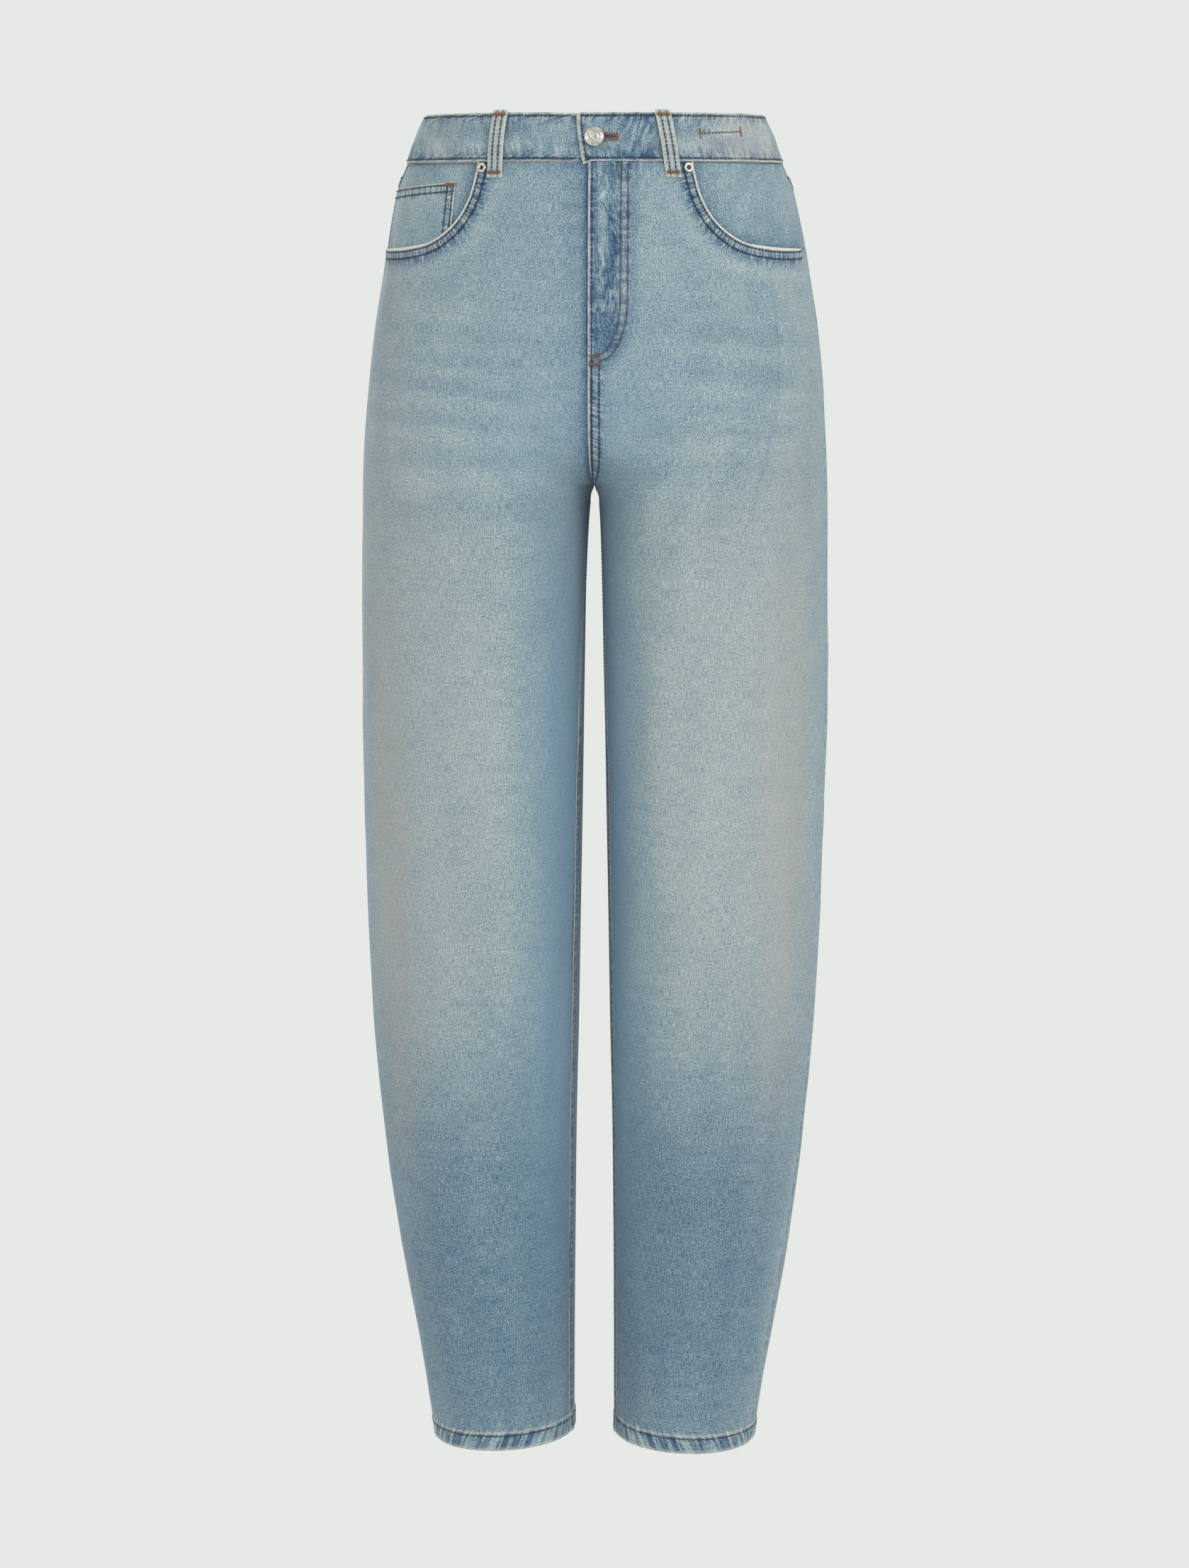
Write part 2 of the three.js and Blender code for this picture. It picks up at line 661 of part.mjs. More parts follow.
// Each loop's face, and its girth from the middle seam at its top and at its foot
const LOOPS = rowsOf(["name", "half", "face", "top", "foot"], [
  ["belt_loop_front_left", LEFT, "front", 55.8, 65],
  ["belt_loop_front_right", RIGHT, "front", 67.5, 72],
  ["belt_loop_back_left", LEFT, "back", 99, 102],
  ["belt_loop_back_right", RIGHT, "back", 99, 102],
  ["belt_loop_centre_back", LEFT, "back", 0, 0],
]);
function beltLoop({ half, face, top, foot }) {
  const across = (height, lift, share) => {
    const z = Math.min(height, 0);
    const girth = top + ((foot - top) * z) / LOOP_PROFILE[LOOP_PROFILE.length - 1].z;
    const turn = turnAt(half, face, z, girth);
    const middle = skin(half, turn, z, lift);
    const along = skinNormal(half, turn, z).cross(new THREE.Vector3(0, 0, 1)).normalize();
    middle.addScaledVector(along, (share - 0.5) * LOOP.wide);
    middle.z += height - z;
    return middle;
  };
  const over = (i, j) => across(LOOP_PROFILE[j].z, LOOP_PROFILE[j].lift + LOOP.thick, i / LOOP.columns);
  const under = (i, j) => across(LOOP_PROFILE[j].z, LOOP_PROFILE[j].lift, i / LOOP.columns);
  return wall(LOOP.columns, LOOP_PROFILE.length - 1, over, under);
}

// Behind the fly: the closed zip, and the shield that backs it
const ZIP_COLUMNS = ["girth", "thick"];
const ZIP_PROFILE = rowsOf(ZIP_COLUMNS, [
  [-13, 0.7],
  [-3.2, 0.7],
  [-2.6, 1.9],
  [2.6, 1.9],
  [3.2, 0.7],
  [13, 0.7],
]);
const ZIP = { middle: 12, top: -42, bottom: -170, rows: 6, lift: -1.8 };
function signedPoint(girth, z, lift) {
  return pointAt(girth < 0 ? RIGHT : LEFT, "front", z, Math.abs(girth), lift);
}
function zip() {
  const spot = (i, j, under) => {
    const z = ZIP.top + ((ZIP.bottom - ZIP.top) * j) / ZIP.rows;
    return signedPoint(ZIP.middle + ZIP_PROFILE[i].girth, z, ZIP.lift - (under ? ZIP_PROFILE[i].thick : 0));
  };
  return wall(ZIP_PROFILE.length - 1, ZIP.rows, (i, j) => spot(i, j, false), (i, j) => spot(i, j, true));
}
const SHIELD = { edge: -12, width: 46, columns: 5, rows: 7, bottom: -184, near: -1.8, far: -4.3 };
function flyShield() {
  const spot = (i, j, extra) => {
    const share = i / SHIELD.columns;
    const z = ZIP.top + ((SHIELD.bottom - ZIP.top) * j) / SHIELD.rows;
    const taper = j === SHIELD.rows ? 0.55 : 1;
    const girth = SHIELD.edge + SHIELD.width * share * taper;
    const lift = SHIELD.near + (SHIELD.far - SHIELD.near) * smooth(share * 4);
    return signedPoint(girth, z, lift - extra);
  };
  return wall(SHIELD.columns, SHIELD.rows, (i, j) => spot(i, j, 0), (i, j) => spot(i, j, CLOTH));
}

// Materials
const DENIM = new THREE.MeshStandardMaterial({ color: 0x93a9b2, roughness: 0.92, metalness: 0 });
const DENIM_FADED = new THREE.MeshStandardMaterial({ color: 0xa3b0b1, roughness: 0.92, metalness: 0 });
const STEEL = new THREE.MeshStandardMaterial({ color: 0xc9c8c0, roughness: 0.35, metalness: 0.9 });
const ZIP_METAL = new THREE.MeshStandardMaterial({ color: 0x8d8f90, roughness: 0.5, metalness: 0.6 });

function addMesh(group, name, geometry, material) {
  const mesh = new THREE.Mesh(geometry, material);
  mesh.name = name;
  group.add(mesh);
}
function buildJeans() {
  const jeans = new THREE.Group();
  for (const [half, word] of [[LEFT, "left"], [RIGHT, "right"]]) {
    addMesh(jeans, `front_${word}`, frontPanel(half), DENIM);
    addMesh(jeans, `back_${word}`, backPanel(half), DENIM);
    addMesh(jeans, `yoke_${word}`, yoke(half), DENIM);
    addMesh(jeans, `pocket_facing_${word}`, pocketFacing(half), DENIM);
    addMesh(jeans, `back_pocket_${word}`, backPocket(half), DENIM);
    addMesh(jeans, `rivet_${word}`, rivet(half), STEEL);
  }
  addMesh(jeans, "coin_pocket", coinPocket(), DENIM_FADED);
  addMesh(jeans, "waistband", waistband(), DENIM);
  for (const loop of LOOPS) addMesh(jeans, loop.name, beltLoop(loop), DENIM_FADED);
  addMesh(jeans, "button", button(), STEEL);
  addMesh(jeans, "zip", zip(), ZIP_METAL);
  addMesh(jeans, "fly_shield", flyShield(), DENIM);
  return jeans;
}

export default buildJeans();
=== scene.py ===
"""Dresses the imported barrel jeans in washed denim. Blender 4.5.

Every piece lies on one surface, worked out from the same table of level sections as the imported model. Sizes
are in millimetres until a mesh is made. +Z is up, the front faces -Y and the wearer's left is +X.
"""

import bmesh
import bpy
import numpy as np
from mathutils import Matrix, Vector


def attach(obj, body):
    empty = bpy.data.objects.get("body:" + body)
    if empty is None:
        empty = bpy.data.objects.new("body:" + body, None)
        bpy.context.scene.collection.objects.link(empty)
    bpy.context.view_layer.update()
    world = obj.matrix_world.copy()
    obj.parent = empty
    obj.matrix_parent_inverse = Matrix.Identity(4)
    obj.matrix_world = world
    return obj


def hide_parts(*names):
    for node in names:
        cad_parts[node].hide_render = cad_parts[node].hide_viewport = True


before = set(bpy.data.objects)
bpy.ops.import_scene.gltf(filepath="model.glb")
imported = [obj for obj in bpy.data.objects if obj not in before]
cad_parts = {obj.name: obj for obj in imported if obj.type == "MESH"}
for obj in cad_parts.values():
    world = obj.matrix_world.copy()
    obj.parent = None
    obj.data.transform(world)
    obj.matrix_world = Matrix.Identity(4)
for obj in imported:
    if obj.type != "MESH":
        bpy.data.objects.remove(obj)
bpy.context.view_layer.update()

MM = 0.001
LEFT = 1
RIGHT = -1
CLOTH = 1.2
SEAM_GAP = 0.3

# Heights of the main lines, measured from the waistband's top edge
BAND_BOTTOM = -36.5
PANEL_TOP = BAND_BOTTOM - SEAM_GAP
CROTCH_START = -214
CROTCH = -284
HEM_BOTTOM = -1043.5
HEM_DEPTH = 13
# The hem's stitches, above its lower edge
HEM_ROW = 11.8

# Level sections of the outer face. side and inner are distances from the middle; front and back are depths;
# deep is where the section is widest; power squares its corners; the leads are degrees by which seams come
# forward; tilt slopes the section down to the outside.
SECTION_COLUMNS = ("z", "side", "inner", "front", "back", "deep", "power", "side_lead", "inner_lead", "tilt")
SECTIONS = (
    (0, 130, 0.15, 88, 97, 2, 2.15, 4, 0, 0),
    (-12, 136, 0.15, 90, 102, 2, 2.15, 4, 0, 0),
    (-37, 145.5, 0.15, 93, 109, 3, 2.18, 4, 0, 0),
    (-55, 153, 0.15, 96, 114, 3, 2.2, 4, 0, 0),
    (-76, 158, 0.15, 99, 120, 4, 2.22, 4, 0, 0),
    (-120, 165.5, 0.15, 103, 129, 5, 2.28, 4, 0, 0),
    (-165, 172.5, 0.15, 106, 134, 6, 2.32, 4, 0, 0),
    (-205, 177, 0.15, 107, 134, 6, 2.34, 4, 0, 0),
    (-260, 181, 0.15, 108, 128, 4, 2.28, 4, 0, 0),
    (-284, 181.9, 0.15, 108, 123, 3, 2.22, 4, 0, 0),
    (-294, 182.1, 3.6, 108, 121, 3, 2.2, 4, 0.6, 0),
    (-338, 182.5, 6.2, 108, 117, 2, 2.16, 4, 3, 0),
    (-430, 182.1, 8, 107, 112, 2, 2.12, 4, 6.5, 0),
    (-520, 181.2, 9.3, 105, 108, 1, 2.1, 4.5, 8, 0),
    (-610, 179.3, 10.9, 102, 104, 1, 2.1, 5.5, 8.5, 0),
    (-700, 175.5, 12.4, 97, 99, 1, 2.1, 7, 9, 0.01),
    (-792, 167.3, 14.4, 90, 93, 1, 2.1, 8.5, 9, 0.02),
    (-884, 154.9, 15.4, 82, 86, 1, 2.1, 10, 9, 0.03),
    (-978, 138.8, 16.1, 74, 79, 1, 2.1, 11, 9, 0.04),
    (-1043.5, 128.4, 16.3, 70, 74, 1, 2.1, 11, 9, 0.04),
)
SIDE_LEAD_SHARE = {LEFT: 1, RIGHT: 0.15}

# The largest soft folds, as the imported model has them. wide is in degrees, and lean slopes a fold.
FOLDS = (
    # half, turn, z, wide, tall, lean, rise
    (LEFT, 16, -150, 7, 130, 0.01, 1.8),
    (RIGHT, 28, -170, 5, 110, -0.01, -1.4),
    (LEFT, 34, -330, 14, 120, 0.03, 2.2),
    (RIGHT, 36, -350, 14, 130, 0.02, 2),
    (LEFT, 60, -560, 16, 150, -0.03, -2),
    (RIGHT, 58, -600, 16, 140, -0.04, -1.8),
    (LEFT, 150, -300, 16, 34, 0.25, -4),
    (RIGHT, 148, -306, 17, 32, 0.22, -4),
    (LEFT, 138, -345, 18, 30, 0.2, 3),
    (RIGHT, 134, -350, 18, 30, 0.24, 3),
    (LEFT, 132, -610, 22, 26, 0.1, -4),
    (RIGHT, 138, -600, 22, 26, 0.12, -4),
    (LEFT, 140, -660, 24, 28, -0.1, 3.4),
    (RIGHT, 130, -655, 24, 28, -0.12, 3.2),
    (LEFT, 146, -720, 22, 28, 0.12, -3),
    (RIGHT, 140, -712, 22, 28, 0.1, -3),
)
# Heights between which a section parts into two legs, and how many degrees from a seam feel the crotch
PART_START = -170
PART_END = -345
SEAM_REACH = 42
# What a section gains in depth halfway through its parting
PARTING_DEPTH = 0.133


def smooth(v):
    s = np.clip(v, 0, 1)
    return s * s * (3 - 2 * s)


def bell(v, width):
    return np.exp(-((v / width) ** 2))


def mix(a, b, share):
    return a + (b - a) * share


SECTION_Z = np.array([row[0] for row in SECTIONS], float)[::-1]
SECTION_VALUES = np.array([row[1:] for row in SECTIONS], float)[::-1]


def section_slopes():
    """Slopes that keep a column from overshooting between its rows."""
    h = np.diff(SECTION_Z)[:, None]
    d = np.diff(SECTION_VALUES, axis=0) / h
    slopes = np.zeros_like(SECTION_VALUES)
    slopes[0], slopes[-1] = d[0], d[-1]
    before, after = 2 * h[1:] + h[:-1], h[1:] + 2 * h[:-1]
    with np.errstate(divide="ignore", invalid="ignore"):
        mean = (before + after) / (before / d[:-1] + after / d[1:])
    slopes[1:-1] = np.where(d[:-1] * d[1:] > 0, mean, 0)
    return slopes


SECTION_SLOPES = section_slopes()


def section(height):
    z = np.clip(np.asarray(height, float), SECTION_Z[0], SECTION_Z[-1])
    i = np.clip(np.searchsorted(SECTION_Z, z, side="right") - 1, 0, len(SECTION_Z) - 2)
    h = (SECTION_Z[i + 1] - SECTION_Z[i])[..., None]
    s = ((z - SECTION_Z[i]) / h[..., 0])[..., None]
    rise = s * s * (3 - 2 * s)
    values = mix(SECTION_VALUES[i], SECTION_VALUES[i + 1], rise)
    values = values + SECTION_SLOPES[i] * h * s * (1 - s) ** 2 + SECTION_SLOPES[i + 1] * h * s * s * (s - 1)
    return dict(zip(SECTION_COLUMNS[1:], np.moveaxis(values, -1, 0)))


def fork_share(turn, z):
    """How far the section has parted into two legs."""
    drop = np.clip((CROTCH_START - z) / (CROTCH_START - CROTCH), 0, 1)
    at_seam = 1 - np.sqrt(1 - drop * drop)
    away = smooth((PART_START - z) / (PART_START - PART_END))
    near_seam = 1 - smooth(np.minimum(np.abs(turn), np.abs(180 - turn)) / SEAM_REACH)
    return away + (at_seam - away) * near_seam


def power_of(v, power):
    return np.sign(v) * np.abs(v) ** (2 / power)


def bare_skin(turn, z):
    """The bare outer face on the left. turn is 0 at the centre front or inner leg and 90 at the side."""
    turn, z = np.broadcast_arrays(np.asarray(turn, float), np.asarray(z, float))
    k = section(z)
    share = fork_share(turn, z)
    a = np.radians(turn)
    trunk_depth = np.where(np.cos(a) > 0, k["front"] + k["deep"], k["back"] - k["deep"])
    trunk_x = k["side"] * power_of(np.sin(a), k["power"])
    trunk_y = k["deep"] - trunk_depth * power_of(np.cos(a), k["power"])
    centre = (k["side"] + k["inner"]) / 2
    half_width = (k["side"] - k["inner"]) / 2
    leg_depth = np.where(np.sin(2 * a) > 0, k["front"] + k["deep"], k["back"] - k["deep"])
    leg_x = centre - half_width * power_of(np.cos(2 * a), k["power"])
    leg_y = k["deep"] - leg_depth * power_of(np.sin(2 * a), k["power"])
    x = mix(trunk_x, leg_x, share)
    depth = mix(trunk_y, leg_y, share) - k["deep"]
    y = k["deep"] + depth * (1 + PARTING_DEPTH * 4 * share * (1 - share))
    return np.stack([x, y, z - k["tilt"] * (x - centre)], -1)


def bare_normal(turn, z):
    z = np.asarray(z, float)
    high = np.minimum(z + 0.5, 0)
    low = np.where(z - 0.5 < HEM_BOTTOM, HEM_BOTTOM, z - 0.5)
    low = np.where(high - low < 0.4, z - 1, low)
    high = np.where(high - low < 0.4, z + 1, high)
    along = bare_skin(turn + 0.5, z) - bare_skin(turn - 0.5, z)
    up = bare_skin(turn, high) - bare_skin(turn, low)
    n = np.cross(along, up)
    return n / np.maximum(np.linalg.norm(n, axis=-1, keepdims=True), 1e-9)


# Smooth pseudo-random values on a lattice
NOISE_SIZE = 128


def noise(x, y, seed):
    """From -1 to 1, with one new value in each unit of x and y."""
    lattice = np.random.default_rng(abs(seed) * 2 + (seed < 0)).uniform(-1, 1, (NOISE_SIZE, NOISE_SIZE))
    x, y = np.broadcast_arrays(np.asarray(x, float), np.asarray(y, float))
    i, j = np.floor(x).astype(int), np.floor(y).astype(int)
    u, v = x - i, y - j
    u, v = u * u * (3 - 2 * u), v * v * (3 - 2 * v)

    def at(di, dj):
        return lattice[(i + di) % NOISE_SIZE, (j + dj) % NOISE_SIZE]

    return mix(mix(at(0, 0), at(1, 0), u), mix(at(0, 1), at(1, 1), u), v)


# Soft undulation of the cloth: how many degrees and millimetres one wave takes, and how high it is
WAVES = (
    # degrees, tall, rise, seed of the noise
    (13, 150, 1.1, 11),
    (7, 60, 0.5, 12),
    (4, 26, 0.22, 13),
)


def fold_rise(half, turn, z):
    """Height of the soft folds, which every layer of cloth follows."""
    rise = np.zeros(np.broadcast(turn, z).shape)
    for side, place, height, wide, tall, lean, high in FOLDS:
        if side != half:
            continue
        reach = ((z - height) / tall) ** 2 + ((turn - place - lean * (z - height)) / wide) ** 2
        rise = rise + np.where(reach < 4, high * np.exp(-1.6 * reach) * (1 - reach / 4), 0)
    # The waves die out towards the seams, the band and the hem
    free = smooth(np.minimum(np.abs(turn), np.abs(180 - turn)) / 14)
    free = free * smooth((BAND_BOTTOM - z) / 60) * smooth((z - HEM_BOTTOM) / 40)
    for degrees, tall, high, seed in WAVES:
        rise = rise + high * free * noise(turn / degrees, z / tall, seed * half)
    return rise


def normal_on(half, turn, z):
    """The bare normal on one half."""
    return bare_normal(turn, z) * np.array([half, 1, 1])


def skin(half, turn, z, lift):
    """Places on the garment, lifted off its bare outer face. half may differ from place to place."""
    turn, z, lift, half = np.broadcast_arrays(*(np.asarray(v, float) for v in (turn, z, lift, half)))
    rise = np.where(half > 0, fold_rise(LEFT, turn, z), fold_rise(RIGHT, turn, z))
    p = bare_skin(turn, z) + bare_normal(turn, z) * (lift + rise)[..., None]
    return p * np.stack([half, np.ones(z.shape), np.ones(z.shape)], -1)


# Girth distances, tabulated on turn and height
TABLE_Z = np.arange(HEM_BOTTOM - 2.0, 2.1, 2.0)
TABLE_TURNS = np.arange(0, 193.0)


def girth_table():
    points = bare_skin(TABLE_TURNS[None, :], np.minimum(TABLE_Z, 0)[:, None])
    steps = np.linalg.norm(np.diff(points, axis=1), axis=2)
    return np.concatenate([np.zeros((len(TABLE_Z), 1)), np.cumsum(steps, axis=1)], axis=1)


GIRTH_TABLE = girth_table()


def table_length(turn, z):
    turn, z = np.broadcast_arrays(np.asarray(turn, float), np.asarray(z, float))
    row = np.clip((z - TABLE_Z[0]) / 2, 0, len(TABLE_Z) - 1.001)
    column = np.clip(turn, 0, TABLE_TURNS[-1] - 0.001)
    j, i = row.astype(int), column.astype(int)
    v, u = row - j, column - i
    low = mix(GIRTH_TABLE[j, i], GIRTH_TABLE[j, i + 1], u)
    high = mix(GIRTH_TABLE[j + 1, i], GIRTH_TABLE[j + 1, i + 1], u)
    return mix(low, high, v)


def girth(face, turn, z):
    """Distance along a face from its centre or inner seam."""
    lead = section(z)["inner_lead"]
    if face == "front":
        return table_length(turn, z) - table_length(lead, z)
    return table_length(180 + lead, z) - table_length(turn, z)


def turn_at(face, distance, z):
    distance, z = np.broadcast_arrays(np.asarray(distance, float), np.asarray(z, float))
    lead = section(z)["inner_lead"]
    if face == "front":
        target = table_length(lead, z) + distance
    else:
        target = table_length(180 + lead, z) - distance
    low, high = np.zeros(z.shape), np.full(z.shape, TABLE_TURNS[-1])
    for _ in range(18):
        middle = (low + high) / 2
        short = table_length(middle, z) < target
        low, high = np.where(short, middle, low), np.where(short, high, middle)
    return (low + high) / 2


def side_turn(half, z):
    return 90 - section(z)["side_lead"] * SIDE_LEAD_SHARE[half]


def face_width(half, face, z):
    return girth(face, side_turn(half, z), z)


# Lines on the panels. Girths are from the centre seam. A detail of the front lies DETAIL_SHIFT nearer to it
# on the left, and as much further from it on the right.
FLY = {"width": 31, "foot": 8, "bend_top": -140, "bottom": -187, "relief": 0.9}
DETAIL_SHIFT = 3
OPENING = (
    # girth, z
    (83.2, -36.8),
    (83.5, -42),
    (90, -64),
    (102, -82),
    (121, -95.5),
    (143, -101),
    (168, -102.5),
    (192, -102),
)
YOKE_AT_SIDE = -54
YOKE_AT_CENTRE = -104
BACK_POCKET = {
    "inner": 34, "outer": 166, "inner_foot": 42, "outer_foot": 156,
    "below": 15, "tall": 118, "point": 142,
}
COIN = {"inner_top": (106, -51), "inner_foot": (110, -92), "outer_foot": (183, -112), "outer_top": (183, -56)}
COIN_CLOTH = 1.0
LAYER_GAP = 0.3
FACING_LIFT = {LEFT: -CLOTH - LAYER_GAP, RIGHT: -CLOTH - COIN_CLOTH - 2 * LAYER_GAP}


def curve_points(knots, count):
    """A smooth line through the knots, sampled evenly along its length."""
    p = np.array(knots, float)
    ends = np.vstack([2 * p[0] - p[1], p, 2 * p[-1] - p[-2]])
    fine = []
    for k in range(1, len(ends) - 2):
        a, b, c, d = ends[k - 1], ends[k], ends[k + 1], ends[k + 2]
        t = np.linspace(0, 1, 24, endpoint=False)[:, None]
        bend = (2 * a - 5 * b + 4 * c - d) * t**2 + (3 * b - a - 3 * c + d) * t**3
        fine.append(0.5 * (2 * b + (c - a) * t + bend))
    return even_points(np.vstack(fine + [p[-1:]]), count)


def even_points(line, count):
    length = np.concatenate([[0], np.cumsum(np.linalg.norm(np.diff(line, axis=0), axis=1))])
    at = np.linspace(0, length[-1], count)
    return np.stack([np.interp(at, length, line[:, k]) for k in range(line.shape[1])], 1)


def moved_aside(line, distance):
    """The line moved to its right-hand side in the girth and height plane."""
    tangent = np.gradient(line, axis=0)
    tangent /= np.linalg.norm(tangent, axis=1, keepdims=True)
    return line + distance * np.stack([tangent[:, 1], -tangent[:, 0]], 1)


def opening_line(half, count=160):
    """The pocket opening's edge, from the band down and out to the side seam."""
    line = curve_points([(u - half * DETAIL_SHIFT, z) for u, z in OPENING], count)
    inside = line[:, 0] < face_width(half, "front", line[:, 1]) - SEAM_GAP / 2
    return even_points(line[inside], count)


def fly_edge(z):
    drop = np.clip((FLY["bend_top"] - z) / (FLY["bend_top"] - FLY["bottom"]), 0, 1)
    return FLY["foot"] + (FLY["width"] - FLY["foot"]) * np.sqrt(1 - drop * drop)


def fly_line(inset, count=120):
    """A line that runs beside the fly's outer edge, from the band round to the centre front."""
    bend, bottom = FLY["bend_top"], FLY["bottom"] + inset
    width = FLY["width"] - inset
    straight = np.stack([np.full(30, width), np.linspace(PANEL_TOP, bend, 30)], 1)
    a = np.linspace(0, np.pi / 2 * 0.97, 40)[1:]
    reach = width - FLY["foot"]
    round_part = np.stack([FLY["foot"] + reach * np.cos(a), bend - (bend - bottom) * np.sin(a)], 1)
    return even_points(np.vstack([straight, round_part]), count)


def distance_to(line, u, z):
    """Distance from each place to a line, and how far along the line that is."""
    best, along = np.full(u.shape, 1e9), np.zeros(u.shape)
    length = 0.0
    for a, b in zip(line[:-1], line[1:]):
        d = b - a
        size = float(np.hypot(*d))
        t = np.clip(((u - a[0]) * d[0] + (z - a[1]) * d[1]) / max(size * size, 1e-9), 0, 1)
        away = np.hypot(u - a[0] - t * d[0], z - a[1] - t * d[1])
        nearer = away < best
        best = np.where(nearer, away, best)
        along = np.where(nearer, length + t * size, along)
        length += size
    return best, along


# The middle of a panel, from which the pattern of its cloth is placed
GRAIN_TURN = {"front": 50, "back": 130}
# Sewn lines that meet are kept apart, so that the puckers of one never break off at the other
CHANNELS = ("edge", "middle", "side", "crinkle")
# Beyond a row, its distance grows by one in this many millimetres. Creases without a row start NO_ROW off.
ROW_SCALE = 2.7
NO_ROW = 400.0


def lines(values, away, *rows, share=1.0):
    """Adds soft lines to values, in place. Each row is a line's distance, how wide it is and what it adds."""
    for distance, wide, amount in rows:
        values += share * amount * bell(away - distance, wide)


class Field:
    """What the material and the relief need at each point of a piece."""

    def __init__(self, half, face, turn, z, start, u=None):
        """start sets the piece apart from the others in the pattern of the cloth."""
        self.half, self.face = half, face
        self.turn, self.z = turn, z
        self.u = girth(face, turn, z) if u is None else u
        self.width = face_width(LEFT if np.ndim(half) else half, face, z)
        self.yarn = table_length(turn, z) - table_length(GRAIN_TURN[face], z) if u is None else u
        self.yarn_start = start
        self.relief, self.worn, self.wash, self.tan = np.zeros((4, *z.shape))
        # Places along and across a row of stitches, and how strong its puckers are
        self.sewn = {name: np.zeros((3, *z.shape)) for name in CHANNELS}
        for kept in self.sewn.values():
            kept[1] = 3.0

    def keep_stronger(self, channel, along, across, power):
        kept = self.sewn[channel]
        stronger = power > kept[2]
        for row, values in enumerate((along, across, power)):
            kept[row] = np.where(stronger, values, kept[row])

    def sew(self, channel, away, along, strength, reach, period=3.2, gap=0.0):
        """Puckers beside one row of stitches, or beside two that lie gap apart on both sides of the line.

        They are strongest at the rows and gone at about twice the reach. period is their spacing. The
        material paints shade, with some dirt, into the groove where its second value is 1.
        """
        power = strength * bell(np.maximum(np.abs(away) - gap / 2, 0), reach)
        across = np.abs(away) * 2 / gap if gap else 1 + np.abs(away) / ROW_SCALE
        self.keep_stronger(channel, along / period, np.minimum(across, 4), power)

    def crinkle(self, across, down, strength):
        """Small broken creases. across and down are in creases."""
        self.keep_stronger("crinkle", across, NO_ROW + down, np.clip(strength, 0, 1))


# The front shows the inner seam's rows below this height, and above it they lie further back
SEAM_SHOWS = -430
SEAM_SETBACK = 3.5


def seam_shown(z):
    return smooth((SEAM_SHOWS - z) / 70)


def set_back(z):
    return SEAM_SETBACK * (1 - seam_shown(z))


def side_and_inner_seams(f):
    """Grooves and puckers down the side seam and the inner leg."""
    from_side = f.width - f.u
    leg = smooth((CROTCH - f.z) / 20)
    shown = seam_shown(f.z)
    lines(f.relief, from_side, (0, 1.6, -0.7))
    f.relief += np.where(leg > 0, -0.7 * leg * bell(f.u, 1.4), -0.5 * bell(f.u, 1.2))
    f.sew("side", from_side, f.z, 0.45, 4, 3.6)
    if f.face == "back":
        aside = set_back(f.z)
        f.relief += 0.7 * leg * smooth((10.5 + aside - f.u) / 1.5)
        f.sew("middle", f.u - 5 - aside, f.z, 0.8 * leg * mix(0.4, 1, shown), 3, 3.2, gap=6)
        # Painted light: a paler band along the back's inner edge above the shown seam, lifting the shade that
        # falls between the legs
        lines(f.wash, f.u, (0, 22, 0.12), share=leg * (1 - shown))
        lines(f.wash, f.u, (6, 7, -0.06), share=leg * shown)
    else:
        f.sew("middle", f.u, f.z, 0.5 * leg * shown, 4, 3.6)
        lines(f.wash, f.u, (0, 8, -0.05), share=leg * shown)
    lines(f.worn, f.u, (0, 1.3, 0.45), share=leg * shown)
    lines(f.worn, from_side, (0, 1.2, 0.25))


def hem(f):
    """The doubled edge: a raised fold, its row of stitches, and ropes of cloth that run aslant."""
    above = f.z - HEM_BOTTOM
    from_row = above - HEM_ROW
    beside = np.maximum(np.abs(above - HEM_DEPTH / 2) - 6, 0)
    slanted = f.u + 0.45 * (above - HEM_DEPTH / 2)
    f.relief += 0.8 * smooth((HEM_DEPTH + 0.6 - above) / 1.2)
    f.relief += 0.45 * noise(slanted / 2.8, f.z / 30, 31 * f.half) * bell(beside, 5)
    lines(f.relief, from_row, (0, 1.1, -0.5))
    f.sew("edge", from_row, slanted, 0.75, 5, 3.4)
    f.sew("side", beside + 9, slanted, 0.8 * bell(beside, 3), 99, 3.4)
    lines(f.worn, above, (0, 1.6, 0.75), (HEM_DEPTH + 1.2, 1.0, 0.5))


def front_details(f):
    """The pocket opening and the seam under the waistband, then the fly or what lies beside it."""
    away, along = distance_to(opening_line(f.half), f.u, f.z)
    f.relief += 0.55 * smooth((9.5 - away) / 2)
    lines(f.relief, away, (2.4, 0.8, -0.4), (7.8, 0.8, -0.4))
    f.sew("edge", away - 5, along, 0.95, 2.6, 2.4, gap=5.4)
    f.crinkle(along / 2.4, away / 5, 0.4 * bell(away - 10, 5))
    lines(f.worn, away, (0.2, 1.25, 1.2))
    lines(f.wash, away, (10, 4, -0.16), (6, 3, -0.08), (20, 7, 0.05))
    below_band = PANEL_TOP - f.z
    f.sew("side", below_band + 4, f.u, 0.4, 8, 4)
    lines(f.wash, below_band, (0, 8, -0.1))
    torso = smooth((f.z - CROTCH) / 6)
    if f.half == LEFT:
        fly(f, below_band, torso)
        return
    f.sew("middle", f.u + 4, f.z, 0.3 * torso, 4, 4)
    # Painted shadow of the fly lapping over the centre front: a dark line at the edge, and a wider, fainter
    # dark band
    lines(f.wash, f.u, (0, 3.5, -0.3), (0, 14, -0.12), share=torso)


